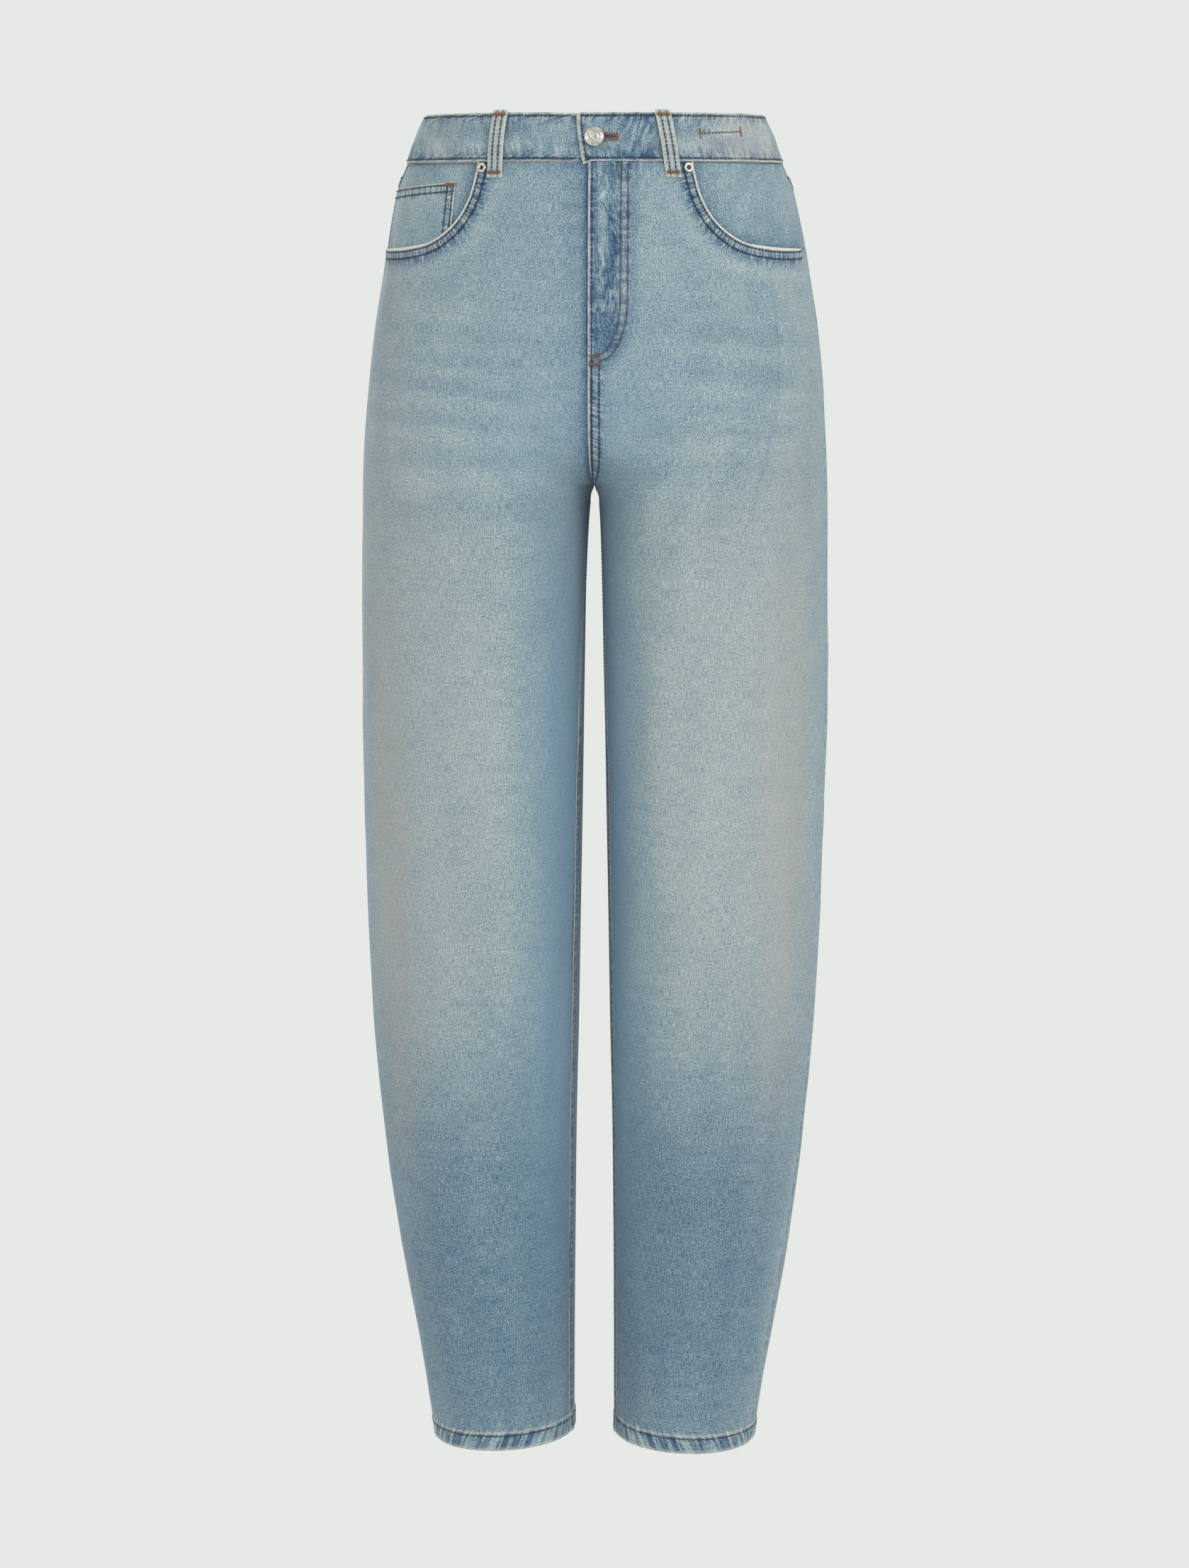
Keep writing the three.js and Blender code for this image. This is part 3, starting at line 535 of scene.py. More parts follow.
def fly(f, below_band, torso):
    """The fly's raised facing with its rows and crinkles, and the crotch seam below it."""
    away, _ = distance_to(fly_line(0), f.u, f.z)
    depth = np.where((f.z > FLY["bottom"]) & (f.u < fly_edge(f.z)), away, -away)
    within = smooth(depth / 3 + 0.7)
    f.relief += FLY["relief"] * smooth(depth / 1.6 + 0.5)
    lines(f.relief, depth, (0.8, 0.8, -0.35), (6.2, 0.8, -0.35))
    f.sew("middle", f.u - 3.0, f.z, 0.85 * torso, 2.4, 3)
    f.sew("side", depth - 3.5, f.z, 0.55 * smooth((f.z + 190) / 10), 2.5, 4, gap=5.4)
    # Crinkles run down the fly and lean out towards its foot
    down = f.z + 110
    leaning = f.u + 0.09 * down + 5 * noise(f.z / 17, f.u / 60, 33)
    ridges = noise(leaning / 3.2, f.z / 15, 34)
    f.relief += 0.4 * within * ridges * smooth((f.u - 3) / 3)
    patches = 0.5 + 0.5 * noise(leaning / 7, f.z / 16, 37)
    inner = smooth((f.u - 5) / 3) * smooth((depth - 8) / 2 + 0.5)
    f.crinkle(leaning / 1.9, f.z / 2.9, 0.85 * within * patches * inner)
    f.crinkle((f.u + 0.1 * f.z) / 2.6, f.z / 3, 0.4 * bell(below_band, 16) * bell(depth + 6, 16))
    # A pale strip down its middle, and bluer places around that
    pale = bell(f.u - 11.5, 4.2) * smooth((f.z + 172) / 14) * smooth((-46 - f.z) / 10)
    pale = pale * (1 + 0.5 * noise(f.z / 20, 0 * f.u, 35))
    f.wash += within * (0.1 * pale + 0.14 * ridges - 0.1)
    lines(f.wash, f.u, (5.5, 2.4, -0.14), (20, 5, -0.1), share=within)
    lines(f.wash, leaning - 0.18 * down, (15, 3.5, -0.3), share=within * bell(f.z + 112, 26))
    lines(f.wash, f.u, (15, 8, -0.24), share=within * bell(f.z + 162, 16))
    # Painted shade just outside the raised fly's edge
    lines(f.wash, depth, (-3, 4, -0.14), share=torso)
    broken = 0.75 + 0.4 * noise(f.z / 7, 0 * f.u, 36)
    lines(f.worn, f.u, (0.8, 0.6, 1), share=torso * broken)
    strip = torso * smooth((FLY["bottom"] - f.z) / 4)
    f.relief += 0.6 * strip * smooth((10.5 - f.u) / 1.5)
    f.sew("side", f.u - 6, f.z + 0.35 * f.u, 0.9 * strip, 2.5, 2.6, gap=6)
    lines(f.wash, f.u, (8, 9, -0.1), share=strip)


def yoke_height(share):
    """Height of the yoke seam, from the centre back to the side."""
    return YOKE_AT_CENTRE + (YOKE_AT_SIDE - YOKE_AT_CENTRE) * share**1.15


def back_details(f):
    """The yoke seam, and the centre-back seam with its fold on the left panel."""
    share = np.linspace(0, 1, 40)
    width = face_width(f.half, "back", np.full(40, -80.0))
    away, along = distance_to(np.stack([share * width, yoke_height(share)], 1), f.u, f.z)
    lines(f.relief, away, (0, 1.2, -0.5))
    lines(f.wash, away, (3, 4, -0.12))
    lines(f.worn, away, (0, 1.0, 0.3))
    f.sew("edge", away + 4, along, 0.8, 5)
    torso = smooth((f.z - CROTCH) / 6)
    f.sew("side", f.u - 4.75, f.z, 0.5 * torso, 3, 3, gap=5.5)
    lines(f.wash, f.u, (5, 7, -0.12), share=torso)
    if f.half == LEFT:
        f.relief += 0.5 * torso * smooth((9 - f.u) / 1.5)


# Washed places: each row adds to the wash, which runs from 0 for deep blue to 1 for nearly white. turn and z
# place the middle, and wide and tall are its reach.
BOTH = 0
WASHES = (
    # half, face, turn, z, wide, tall, amount
    (LEFT, "front", 44, -500, 26, 250, 0.15),
    (RIGHT, "front", 44, -520, 24, 240, 0.11),
    (LEFT, "front", 60, -120, 26, 60, 0.03),
    (BOTH, "front", 16, -700, 12, 330, -0.04),
    (LEFT, "front", 86, -900, 12, 150, 0.2),
    (BOTH, "front", 45, -900, 60, 170, -0.18),
    (LEFT, "front", 8, -330, 10, 90, 0.02),
    (RIGHT, "front", 8, -330, 10, 90, 0.05),
    (BOTH, "back", 135, -200, 30, 90, 0.08),
    (BOTH, "back", 135, -560, 26, 160, 0.05),
    (BOTH, "back", 130, -900, 60, 170, -0.16),
)
# Places with a warm cast, or where the amount is negative, with a brighter unworn blue; on the inner legs
# that blue is partly painted light, lifting the shade that falls between the legs
TANS_AND_LIT_BLUES = (
    # half, face, turn, z, wide, tall, amount
    (LEFT, "front", 66, -560, 9, 230, 0.5),
    (RIGHT, "front", 68, -600, 8, 210, 0.6),
    (LEFT, "front", 50, -500, 22, 260, 0.16),
    (RIGHT, "front", 48, -540, 20, 240, 0.16),
    # Brighter unworn blue down the inner legs, partly painted light that lifts the shade between the legs
    (LEFT, "front", 8, -600, 15, 330, -0.6),
    (RIGHT, "front", 10, -600, 17, 330, -0.65),
    (BOTH, "back", 172, -600, 15, 330, -0.6),
    (LEFT, "front", 80, -300, 30, 200, 0.15),
    (RIGHT, "front", 80, -250, 30, 220, 0.3),
    (BOTH, "back", 112, -560, 12, 220, 0.3),
)
# Whiskers: pale soft creases across the hip, with a darker line beneath each
WHISKERS = (
    # half, turn, z, wide, tall, lean, amount
    (RIGHT, 40, -150, 26, 9, 0.3, 0.056),
    (RIGHT, 40, -172, 26, 8, 0.3, 0.072),
    (RIGHT, 38, -192, 28, 8, 0.35, 0.072),
    (RIGHT, 40, -217, 30, 8, 0.2, 0.072),
    (RIGHT, 42, -242, 30, 9, 0.1, 0.064),
    (RIGHT, 42, -276, 30, 11, -0.1, 0.056),
    (LEFT, 40, -116, 26, 9, -0.3, 0.056),
    (LEFT, 40, -136, 28, 8, -0.3, 0.072),
    (LEFT, 42, -153, 28, 8, -0.25, 0.072),
    (LEFT, 42, -180, 28, 9, -0.2, 0.064),
    (LEFT, 42, -211, 30, 8, -0.2, 0.072),
    (LEFT, 42, -227, 30, 8, -0.1, 0.064),
    (LEFT, 42, -250, 30, 9, 0.0, 0.064),
)
# Painted shade of soft pressed creases down the front, in colour only
CREASE_SHADES = (
    # half, turn, top, foot, amount
    (LEFT, 52.8, -100, -330, -0.055),
    (RIGHT, 74, -108, -240, -0.06),
)
# Uneven dye
MOTTLES = (
    # degrees, tall, amount, seed of the noise
    (5, 90, 0.025, 41),
    (1.6, 60, 0.012, 42),
    (9, 16, 0.02, 43),
)
BASE_WASH = 0.51


def stains_and_painted_light(f, rows, power):
    """What all the places in rows add to a panel. power sets how squarely they end at their sides."""
    total = np.zeros(f.z.shape)
    for half, face, turn, z, wide, tall, amount in rows:
        if half in (f.half, BOTH) and face == f.face:
            reach = np.abs((f.turn - turn) / wide) ** power + np.abs((f.z - z) / tall) ** 3
            total += amount * np.exp(-reach)
    return total


def paint(f):
    """The wash and the warm cast of a leg panel, with painted light on the inner legs and painted shade along
    the front creases.
    """
    f.wash += BASE_WASH + stains_and_painted_light(f, WASHES, 2.4)
    f.tan += stains_and_painted_light(f, TANS_AND_LIT_BLUES, 2)
    for degrees, tall, amount, seed in MOTTLES:
        f.wash += amount * noise(f.turn / degrees, f.z / tall, seed * f.half)
    if f.face == "back":
        return
    for half, turn, z, wide, tall, lean, amount in WHISKERS:
        if half == f.half:
            aside = f.turn - turn
            drop = f.z - z - lean * aside
            lines(f.wash, drop, (0, tall, 1), (-1.9 * tall, tall, -0.8), share=amount * bell(aside, wide))
    # Each crease's shade is painted: a thin dark line, and a broader darker band on its side nearer the
    # centre front
    for half, turn, top, foot, amount in CREASE_SHADES:
        if half == f.half:
            beside = f.turn - turn - 0.8 * noise(f.z / 40, 0 * f.z, 44)
            reach = smooth((top - f.z) / 30) * smooth((f.z - foot) / 50)
            lines(f.wash, beside, (0, 0.7, 1.6), (-5, 6, 1), share=amount * reach)


# Meshes
SIDES = ((LEFT, "left"), (RIGHT, "right"))
WORDS = dict(SIDES)


def make_object(name, points, faces, material, attributes=None):
    """A smooth-shaded object whose faces all look outwards."""
    mesh = bpy.data.meshes.new(name)
    mesh.from_pydata((np.asarray(points) * MM).tolist(), [], [list(map(int, q)) for q in faces])
    for key, values in (attributes or {}).items():
        values = np.asarray(values, np.float32)
        kind, slot = ("FLOAT_VECTOR", "vector") if values.ndim == 2 else ("FLOAT", "value")
        mesh.attributes.new(key, kind, "POINT").data.foreach_set(slot, values.ravel())
    shape = bmesh.new()
    shape.from_mesh(mesh)
    bmesh.ops.recalc_face_normals(shape, faces=shape.faces)
    if shape.calc_volume(signed=True) < 0:
        bmesh.ops.reverse_faces(shape, faces=shape.faces)
    shape.to_mesh(mesh)
    shape.free()
    mesh.polygons.foreach_set("use_smooth", [True] * len(mesh.polygons))
    mesh.materials.append(material)
    piece = bpy.data.objects.new(name, mesh)
    bpy.context.collection.objects.link(piece)
    return piece


def grid_faces(index):
    corners = index[:-1, :-1], index[:-1, 1:], index[1:, 1:], index[1:, :-1]
    return np.stack([corner.ravel() for corner in corners], 1)


def edge_faces(dense, sparse):
    """Triangles between a border and the same border with every second point left out."""
    made = []
    for k in range(len(sparse) - 1):
        a, m, b = dense[2 * k], dense[2 * k + 1], dense[2 * k + 2]
        made += [(a, m, sparse[k]), (m, b, sparse[k + 1]), (m, sparse[k + 1], sparse[k])]
    return made


def coarse(values):
    """Every second point of a grid each way."""
    return values[::2, ::2] if np.ndim(values) >= 2 else values


def cloth_shell(name, f, lift, thickness=CLOTH):
    """A closed wall of cloth that lies on the garment's surface."""
    over = skin(f.half, f.turn, f.z, lift + f.relief)
    under = skin(coarse(f.half), coarse(f.turn), coarse(f.z), coarse(lift) - thickness)
    return shell(name, f, over, under)


def shell(name, f, over, under):
    """A closed wall between a fine outer grid and an inner one with a quarter of its points."""
    outer = np.arange(f.z.size).reshape(f.z.shape)
    inner = coarse(f.z)
    inner = f.z.size + np.arange(inner.size).reshape(inner.shape)
    faces = grid_faces(outer).tolist() + grid_faces(inner)[:, ::-1].tolist()
    for border in (np.s_[0, :], np.s_[-1, :], np.s_[:, 0], np.s_[:, -1]):
        faces += edge_faces(outer[border], inner[border])

    def both(*layers):
        """Values for all points; several layers make a vector."""
        joined = [np.concatenate([v.ravel(), coarse(v).ravel()]) for v in layers]
        return joined[0] if len(joined) == 1 else np.stack(joined, 1)

    inside = np.repeat([0.0, 1.0], [outer.size, inner.size])
    attributes = {
        "cloth": both(f.yarn + f.yarn_start, f.z, 0 * f.z),
        "wash": both(f.wash),
        "worn": both(np.clip(f.worn, 0, 1.3)) * (1 - inside),
        "tan": both(f.tan),
        "inside": inside,
    }
    for channel in CHANNELS:
        sewn = both(*f.sewn[channel])
        sewn[:, 2] *= 1 - inside
        attributes[f"sewn_{channel}"] = sewn
    return make_object(name, np.vstack([over.reshape(-1, 3), under.reshape(-1, 3)]), faces, DENIM, attributes)


# Distances of a panel's first and last columns from its seams, and the numbers of its columns and rows
EDGE_STEPS = np.array([0, 0.5, 1.1, 1.8, 2.6, 3.6, 5.0, 6.6, 7.8, 9.0, 10.8])
PANEL_COLUMNS = 126
ROW_STEP = 2.6
HEM_ROWS = 12
FRONT_SPLIT = -112.0
FRONT_ROWS = 60
BACK_ROWS = 50


def column_turns(half, face, z):
    """Columns of a panel at each height: fixed distances from both seams, and even in turn between."""
    width = face_width(half, face, z)
    near = [turn_at(face, SEAM_GAP / 2 + step, z) for step in EDGE_STEPS]
    far = [turn_at(face, width - SEAM_GAP / 2 - step, z) for step in EDGE_STEPS[::-1]]
    steps = PANEL_COLUMNS + 2 - 2 * len(EDGE_STEPS)
    middle = [mix(near[-1], far[0], k / steps) for k in range(1, steps)]
    return np.stack(near + middle + far, -1)


def leg_heights(top):
    """Heights of a leg's rows. The part between the hem and top gets an even number."""
    hem_top = HEM_BOTTOM + HEM_DEPTH + 4
    count = int((top - hem_top) / ROW_STEP)
    plain = np.linspace(top, hem_top, count + count % 2 + 1)
    return np.concatenate([plain, np.linspace(hem_top, HEM_BOTTOM, HEM_ROWS + 1)[1:]])


def front_grid(half):
    """Turns and heights of a front panel. Its upper part is bent so that it ends on the pocket opening."""
    split, rows = FRONT_SPLIT, FRONT_ROWS
    base = column_turns(half, "front", np.array([split]))[0]
    share = (base - base[0]) / (base[-1] - base[0])
    scoop = opening_line(half)
    side = np.stack([np.full(6, 0.0), np.linspace(scoop[-1, 1], split, 7)[1:]], 1)
    side[:, 0] = face_width(half, "front", side[:, 1]) - SEAM_GAP / 2
    right = even_points(np.vstack([scoop, side]), rows + 1)
    right = np.stack([turn_at("front", right[:, 0], right[:, 1]), right[:, 1]], 1)
    left_z = np.linspace(PANEL_TOP, split, rows + 1)
    left = np.stack([turn_at("front", np.full(rows + 1, SEAM_GAP / 2), left_z), left_z], 1)
    bottom = np.stack([base, np.full(len(base), split)], 1)
    top = np.stack([mix(left[0, 0], right[0, 0], share), np.full(len(base), PANEL_TOP)], 1)
    s, t = share[None, :, None], np.linspace(0, 1, rows + 1)[:, None, None]
    patch = mix(top[None], bottom[None], t) + mix(left[:, None], right[:, None], s)
    patch -= mix(mix(left[0], right[0], s), mix(left[-1], right[-1], s), t)
    heights = leg_heights(split)[1:]
    turns = column_turns(half, "front", heights)
    lower = np.stack([turns, np.broadcast_to(heights[:, None], turns.shape)], -1)
    both = np.concatenate([patch, lower])
    return both[..., 0], both[..., 1]


def back_grid(half):
    """Turns and heights of a back panel, whose top edge follows the yoke seam."""
    share = np.linspace(0, 1, PANEL_COLUMNS + 1)
    t = np.linspace(0, 1, BACK_ROWS + 1)[:, None]
    upper = mix(yoke_height(share)[None] - SEAM_GAP, CROTCH_START, t)
    turns = [column_turns(half, "back", upper[:, k])[:, k] for k in range(PANEL_COLUMNS + 1)]
    heights = leg_heights(CROTCH_START)[1:]
    lower = column_turns(half, "back", heights)
    z = np.concatenate([upper, np.broadcast_to(heights[:, None], lower.shape)])
    return np.concatenate([np.stack(turns, 1), lower]), z


def panel_piece(half, face):
    grid, details = (front_grid, front_details) if face == "front" else (back_grid, back_details)
    f = Field(half, face, *grid(half), 500.0 * ((half == RIGHT) + 2 * (face == "back")))
    side_and_inner_seams(f)
    hem(f)
    details(f)
    paint(f)
    finished(cloth_shell(f"{face}_panel_{WORDS[half]}", f, 0.0), f"{face}_{WORDS[half]}")


def finished(piece, node):
    """Puts a piece in its CAD node's place: hangs it on the root and hides the node."""
    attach(piece, "root")
    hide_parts(node)


# The waistband: one strip from its upper end at the front, round the back from the left, and under itself
BUTTON = {"girth": 4.6, "z": -18.5}
BAND_OVER = 1.0
BAND_THICK = 2.8
BAND_LAP = {"top_end": -9, "bottom_end": -3.5, "under": 33, "drop_start": 34, "drop_end": 14, "gap": 0.5}
# The upper end bulges, has a rounded head and a small pointed foot
LAP_SHAPE = {"bulge": 1.4, "head": 2.2, "foot": 3.2, "reach": 7.0}
BAND_COLUMNS = 480
BAND_EDGE = np.array([0, 0.35, 0.8, 1.4, 2.2, 3.2, 4.4])
BAND_ROW_COUNT = 15
BAND_TANS = ((130, 50, 0.45), (-120, 30, 0.2))
BAND_WASHES = (
    # girth from the centre front, wide, amount
    (38, 20, -0.14),
    (140, 40, 0.12),
    (-50, 22, -0.04),
    (-110, 20, 0.06),
)
# A closed slot sewn on the left, and an open one beside the button, painted as a dark slit of shade
SEWN_SLOT = ((85.5, -16), (122, -14))
BUTTON_SLOT = (10, 21)


def signed_girth(along, z):
    around = 2 * table_length(180, z)
    return np.where(along > around / 2, along - around, along)


def ring_spot(along, z):
    """The half and turn at a girth from the centre front, going left round the waist."""
    along = signed_girth(along, z)
    return np.where(along < 0, RIGHT, LEFT), turn_at("front", np.abs(along), z)


def lap_end(z):
    """Girth of the band's upper end at each height."""
    share = np.clip(z / BAND_BOTTOM, 0, 1)
    head = LAP_SHAPE["head"] * np.clip(1 + z / LAP_SHAPE["head"], 0, 1) ** 2
    bulge = LAP_SHAPE["bulge"] * 4 * share * (1 - share)
    return mix(BAND_LAP["top_end"], BAND_LAP["bottom_end"], share) + head - bulge


def band_spots():
    """Signed girth, height and drop of the band's grid."""
    middle = np.linspace(BAND_EDGE[-1], -BAND_BOTTOM - BAND_EDGE[-1], BAND_ROW_COUNT)[1:-1]
    z = -np.concatenate([BAND_EDGE, middle, -BAND_BOTTOM - BAND_EDGE[::-1]])[:, None]
    around = 2 * table_length(180, z)
    start = lap_end(z)
    end = around + BAND_LAP["under"]
    shares = np.linspace(0, 1, BAND_COLUMNS + 1 - len(BAND_EDGE))[None, 1:]
    girths = np.concatenate([start + BAND_EDGE[None], mix(start + BAND_EDGE[-1], end, shares)], 1)
    before = around - girths
    drop = smooth((BAND_LAP["drop_start"] - before) / (BAND_LAP["drop_start"] - BAND_LAP["drop_end"]))
    from_end = girths - start
    point = LAP_SHAPE["foot"] * np.clip(1 - from_end / LAP_SHAPE["reach"], 0, 1) ** 1.5
    z = z - point * smooth(z / BAND_BOTTOM * 2 - 1)
    return girths, z, drop, from_end, point


def beside_slot(u, z, start, end, height):
    """Distance from a level slot."""
    aside = np.maximum(np.abs(u - (start + end) / 2) - (end - start) / 2, 0)
    return np.hypot(aside, z - height)


def waistband_piece():
    along, z, drop, from_end, point = band_spots()
    half, turn = ring_spot(along, z)
    f = Field(half, "front", turn, z, 2200.0, u=along)
    below_top, above_foot = -z, z - BAND_BOTTOM + point
    low = smooth((BAND_BOTTOM + 0.4 - z) / 0.8)
    lift = BAND_OVER - drop * (BAND_THICK + BAND_LAP["gap"]) + 1.1 * low
    rows = (
        # channel, distance from the edge, the row's distance, place along it, how wide the wear is
        ("edge", below_top, 2.6, along, 0.9),
        ("side", above_foot, 2.2, along, 0.9),
        ("middle", from_end, 3.6, z, 1.3),
    )
    for channel, away, row, line, wide in rows:
        lines(f.relief, away, (0, 0.7, -0.8), (row, 0.9, -0.4))
        lines(f.worn, away, (0, wide, 1), share=0.8 + 0.4 * noise(line / 6, away / 60, 55))
        lines(f.wash, away, (row + 2, 4, -0.08))
        f.sew(channel, away - row, line + 0.3 * away, 0.8, 4.5, 3.2)
    sewn_slot = beside_slot(along, z, 86, 122, -15)
    f.sew("middle", sewn_slot, along, 0.7, 3, 3)
    lines(f.relief, sewn_slot, (0, 1.4, -0.4))
    # The open buttonhole is painted as a dark slit of shade; the band is not cut
    lines(f.wash, beside_slot(along, z, *BUTTON_SLOT, BUTTON["z"]), (0, 1.3, -0.7))
    yarn = f.yarn = signed_girth(along, z)
    f.relief += 0.3 * noise(yarn / 21, z / 9, 51) + 0.2 * noise(yarn / 9, z / 14, 52)
    f.wash += 0.5 + 0.12 * noise(yarn / 26, z / 12, 53) + 0.1 * noise(yarn / 6, z / 14, 54)
    f.wash += 0.2 * smooth((3.4 - from_end) / 1.2)
    lines(f.wash, yarn, *BAND_WASHES)
    lines(f.tan, yarn, *BAND_TANS)
    f.crinkle((yarn + 0.35 * z) / 3.2, z / 5, 0.36 * bell(above_foot - 7, 8))
    f.crinkle((yarn - 0.2 * z) / 3.6, z / 5, 0.42 * bell(below_top - 6, 6))
    f.crinkle((yarn - 0.3 * z) / 3.1, z / 5, 0.52 * bell(yarn - 38, 16))
    finished(cloth_shell("waistband_cloth", f, lift, BAND_THICK - 1.9 * coarse(low)), "waistband")


def plain_paint(f, base, seed):
    f.wash += base + 0.06 * noise(f.u / 22, f.z / 30, seed) + 0.05 * noise(f.u / 7, f.z / 24, seed + 1)


def even_grid(columns, rows):
    """Shares across and down a grid."""
    return np.meshgrid(np.linspace(0, 1, columns + 1), np.linspace(0, 1, rows + 1))


# Pocket facings, whose outer edge comes up to the side seam
FACING_MARGIN = 16
# How high a facing lies where it comes up level with the back at the side
FACING_LEVEL = {LEFT: -0.3, RIGHT: -1.3}


def facing_lift(half, u, z):
    """How high the facing lies: under the front panel at the opening, and level with the back at the side."""
    away, _ = distance_to(opening_line(half, 60), u, z)
    from_side = face_width(half, "front", z) - u
    above = z > np.interp(u, *opening_line(half, 60).T)
    rise = smooth(1 - from_side / 22) * smooth((away - 4) / 14) * above
    return mix(FACING_LIFT[half], FACING_LEVEL[half], rise)


def facing_piece(half):
    edge = moved_aside(opening_line(half, 90), FACING_MARGIN)
    edge = edge[edge[:, 1] < PANEL_TOP]
    share, down = even_grid(60, 60)
    z = mix(PANEL_TOP, edge[:, 1].min(), down)
    inner = np.interp(-z, -edge[:, 1], edge[:, 0])
    u = mix(inner, face_width(half, "front", z) - SEAM_GAP / 2, share)
    f = Field(half, "front", turn_at("front", u, z), z, 2600.0 + 200 * half)
    away, along = distance_to(opening_line(half), u, z)
    f.sew("edge", away + 4, along, 0.35, 5)
    f.sew("side", PANEL_TOP - z + 4, u, 0.35, 8, 4)
    f.relief += 0.35 * noise(u / 24, z / 18, 61 * half)
    plain_paint(f, 0.5, 62)
    # The cloth just inside the opening has kept its blue
    lines(f.wash, away, (0, 7, -0.16))
    word = WORDS[half]
    finished(cloth_shell(f"facing_{word}", f, facing_lift(half, u, z)), f"pocket_facing_{word}")


def coin_piece():
    share, down = even_grid(56, 44)
    inner_u, inner_z = (mix(a, b, down) for a, b in zip(COIN["inner_top"], COIN["inner_foot"]))
    outer_u, outer_z = (mix(a, b, down) for a, b in zip(COIN["outer_top"], COIN["outer_foot"]))
    z = mix(inner_z, outer_z, share)
    side = face_width(RIGHT, "front", z) - SEAM_GAP / 2
    u = mix(inner_u, np.minimum(outer_u, side), share)
    f = Field(RIGHT, "front", turn_at("front", u, z), z, 3000.0)
    below_top = mix(COIN["inner_top"][1], COIN["outer_top"][1], share) - z
    for channel, away, along in (("edge", below_top, u), ("side", u - inner_u, z)):
        lines(f.relief, away, (0, 0.6, -0.45), (2, 0.8, -0.3), (7.2, 0.8, -0.3))
        lines(f.worn, away, (0, 0.9, 1))
        f.sew(channel, away - 4.6, along, 0.8, 2, 2.8, gap=5.2)
    plain_paint(f, 0.5, 64)
    f.wash += 0.06 * smooth(1 - below_top / 30)
    lift = facing_lift(RIGHT, u, z) + COIN_CLOTH + LAYER_GAP
    finished(cloth_shell("coin_pocket_cloth", f, lift, COIN_CLOTH), "coin_pocket")


def yoke_piece(half):
    share, down = even_grid(PANEL_COLUMNS, 26)
    z = mix(PANEL_TOP, yoke_height(share), down)
    u = mix(SEAM_GAP / 2, face_width(half, "back", z) - SEAM_GAP / 2, share)
    f = Field(half, "back", turn_at("back", u, z), z, 3400.0 + 200 * half)
    above = z - yoke_height(share)
    f.relief += 0.45 * smooth((9 - above) / 1.5)
    lines(f.relief, above, (0, 0.8, -0.35), (2, 0.8, -0.3), (7.5, 0.8, -0.3))
    lines(f.worn, above, (0, 1.0, 0.7))
    lines(f.worn, f.u, (0, 1.2, 0.4))
    f.sew("edge", above - 4.75, u, 0.9, 3, 3, gap=5.5)
    f.sew("side", PANEL_TOP - z + 4, u, 0.4, 8, 4)
    f.sew("middle", f.u - 4.75, z, 0.6, 3, 3, gap=5.5)
    plain_paint(f, 0.5, 66)
    finished(cloth_shell(f"yoke_cloth_{WORDS[half]}", f, 0.0), f"yoke_{WORDS[half]}")


def pocket_corners(half):
    """Outline of a back pocket: its upper edge from the middle out, then its pointed foot."""
    b = BACK_POCKET
    height = YOKE_AT_CENTRE
    width = float(table_length(180, height) - table_length(side_turn(half, height), height))
    middle = (b["inner"] + b["outer"]) / 2
    foot = yoke_height(middle / width) - b["below"]
    top = [(g, yoke_height(g / width) - b["below"]) for g in (b["inner"], b["outer"])]
    low = [(b["inner_foot"], foot - b["tall"]), ((b["inner_foot"] + b["outer_foot"]) / 2, foot - b["point"])]
    return np.array(top, float), np.array([*low, (b["outer_foot"], foot - b["tall"])], float)


def back_pocket_piece(half):
    top, low = pocket_corners(half)
    share, down = even_grid(72, 76)
    places = np.linspace(0, 1, len(low))
    foot_u, foot_z = (np.interp(share, places, low[:, k]) for k in (0, 1))
    u = mix(mix(top[0, 0], top[1, 0], share), foot_u, down)
    z = mix(mix(top[0, 1], top[1, 1], share), foot_z, down)
    f = Field(half, "back", turn_at("back", u, z), z, 3800.0 + 200 * half)
    sides, _ = distance_to(np.array([top[0], *low, top[1]]), u, z)
    from_top, along_top = distance_to(top, u, z)
    f.relief += 0.3 * smooth((13 - from_top) / 1.5)
    lines(f.relief, from_top, (0, 0.6, -0.5))
    lines(f.relief, sides, (0, 0.6, -0.5), (2, 0.8, -0.35), (8, 0.8, -0.3))
    lines(f.worn, sides, (0, 0.8, 0.8))
    lines(f.worn, from_top, (0, 0.8, 0.7))
    f.sew("side", sides - 5, u + z, 0.8, 2.5, 3, gap=6)
    f.sew("edge", from_top - 10.75, along_top, 0.7, 4, 3.4, gap=3.5)
    plain_paint(f, 0.54, 68)
    word = WORDS[half]
    finished(cloth_shell(f"back_pocket_cloth_{word}", f, CLOTH + LAYER_GAP), f"back_pocket_{word}")


# Belt loops
LOOP = {"wide": 12, "thick": 1.5, "columns": 20, "rows": 52, "row": 3.6}
LOOP_PROFILE = (
    # z, lift
    (1.6, 1.6),
    (-3, 1.8),
    (-8, 2.9),
    (-18, 3.8),
    (-28, 3.5),
    (-36, 2.3),
    (-42, 1.1),
    (-49, 0.6),
)
LOOPS = (
    # name, half, face, girth at the top, girth at the foot
    ("front_left", LEFT, "front", 55.8, 65),
    ("front_right", RIGHT, "front", 67.5, 72),
    ("back_left", LEFT, "back", 99, 102),
    ("back_right", RIGHT, "back", 99, 102),
    ("centre_back", LEFT, "back", 0, 0),
)


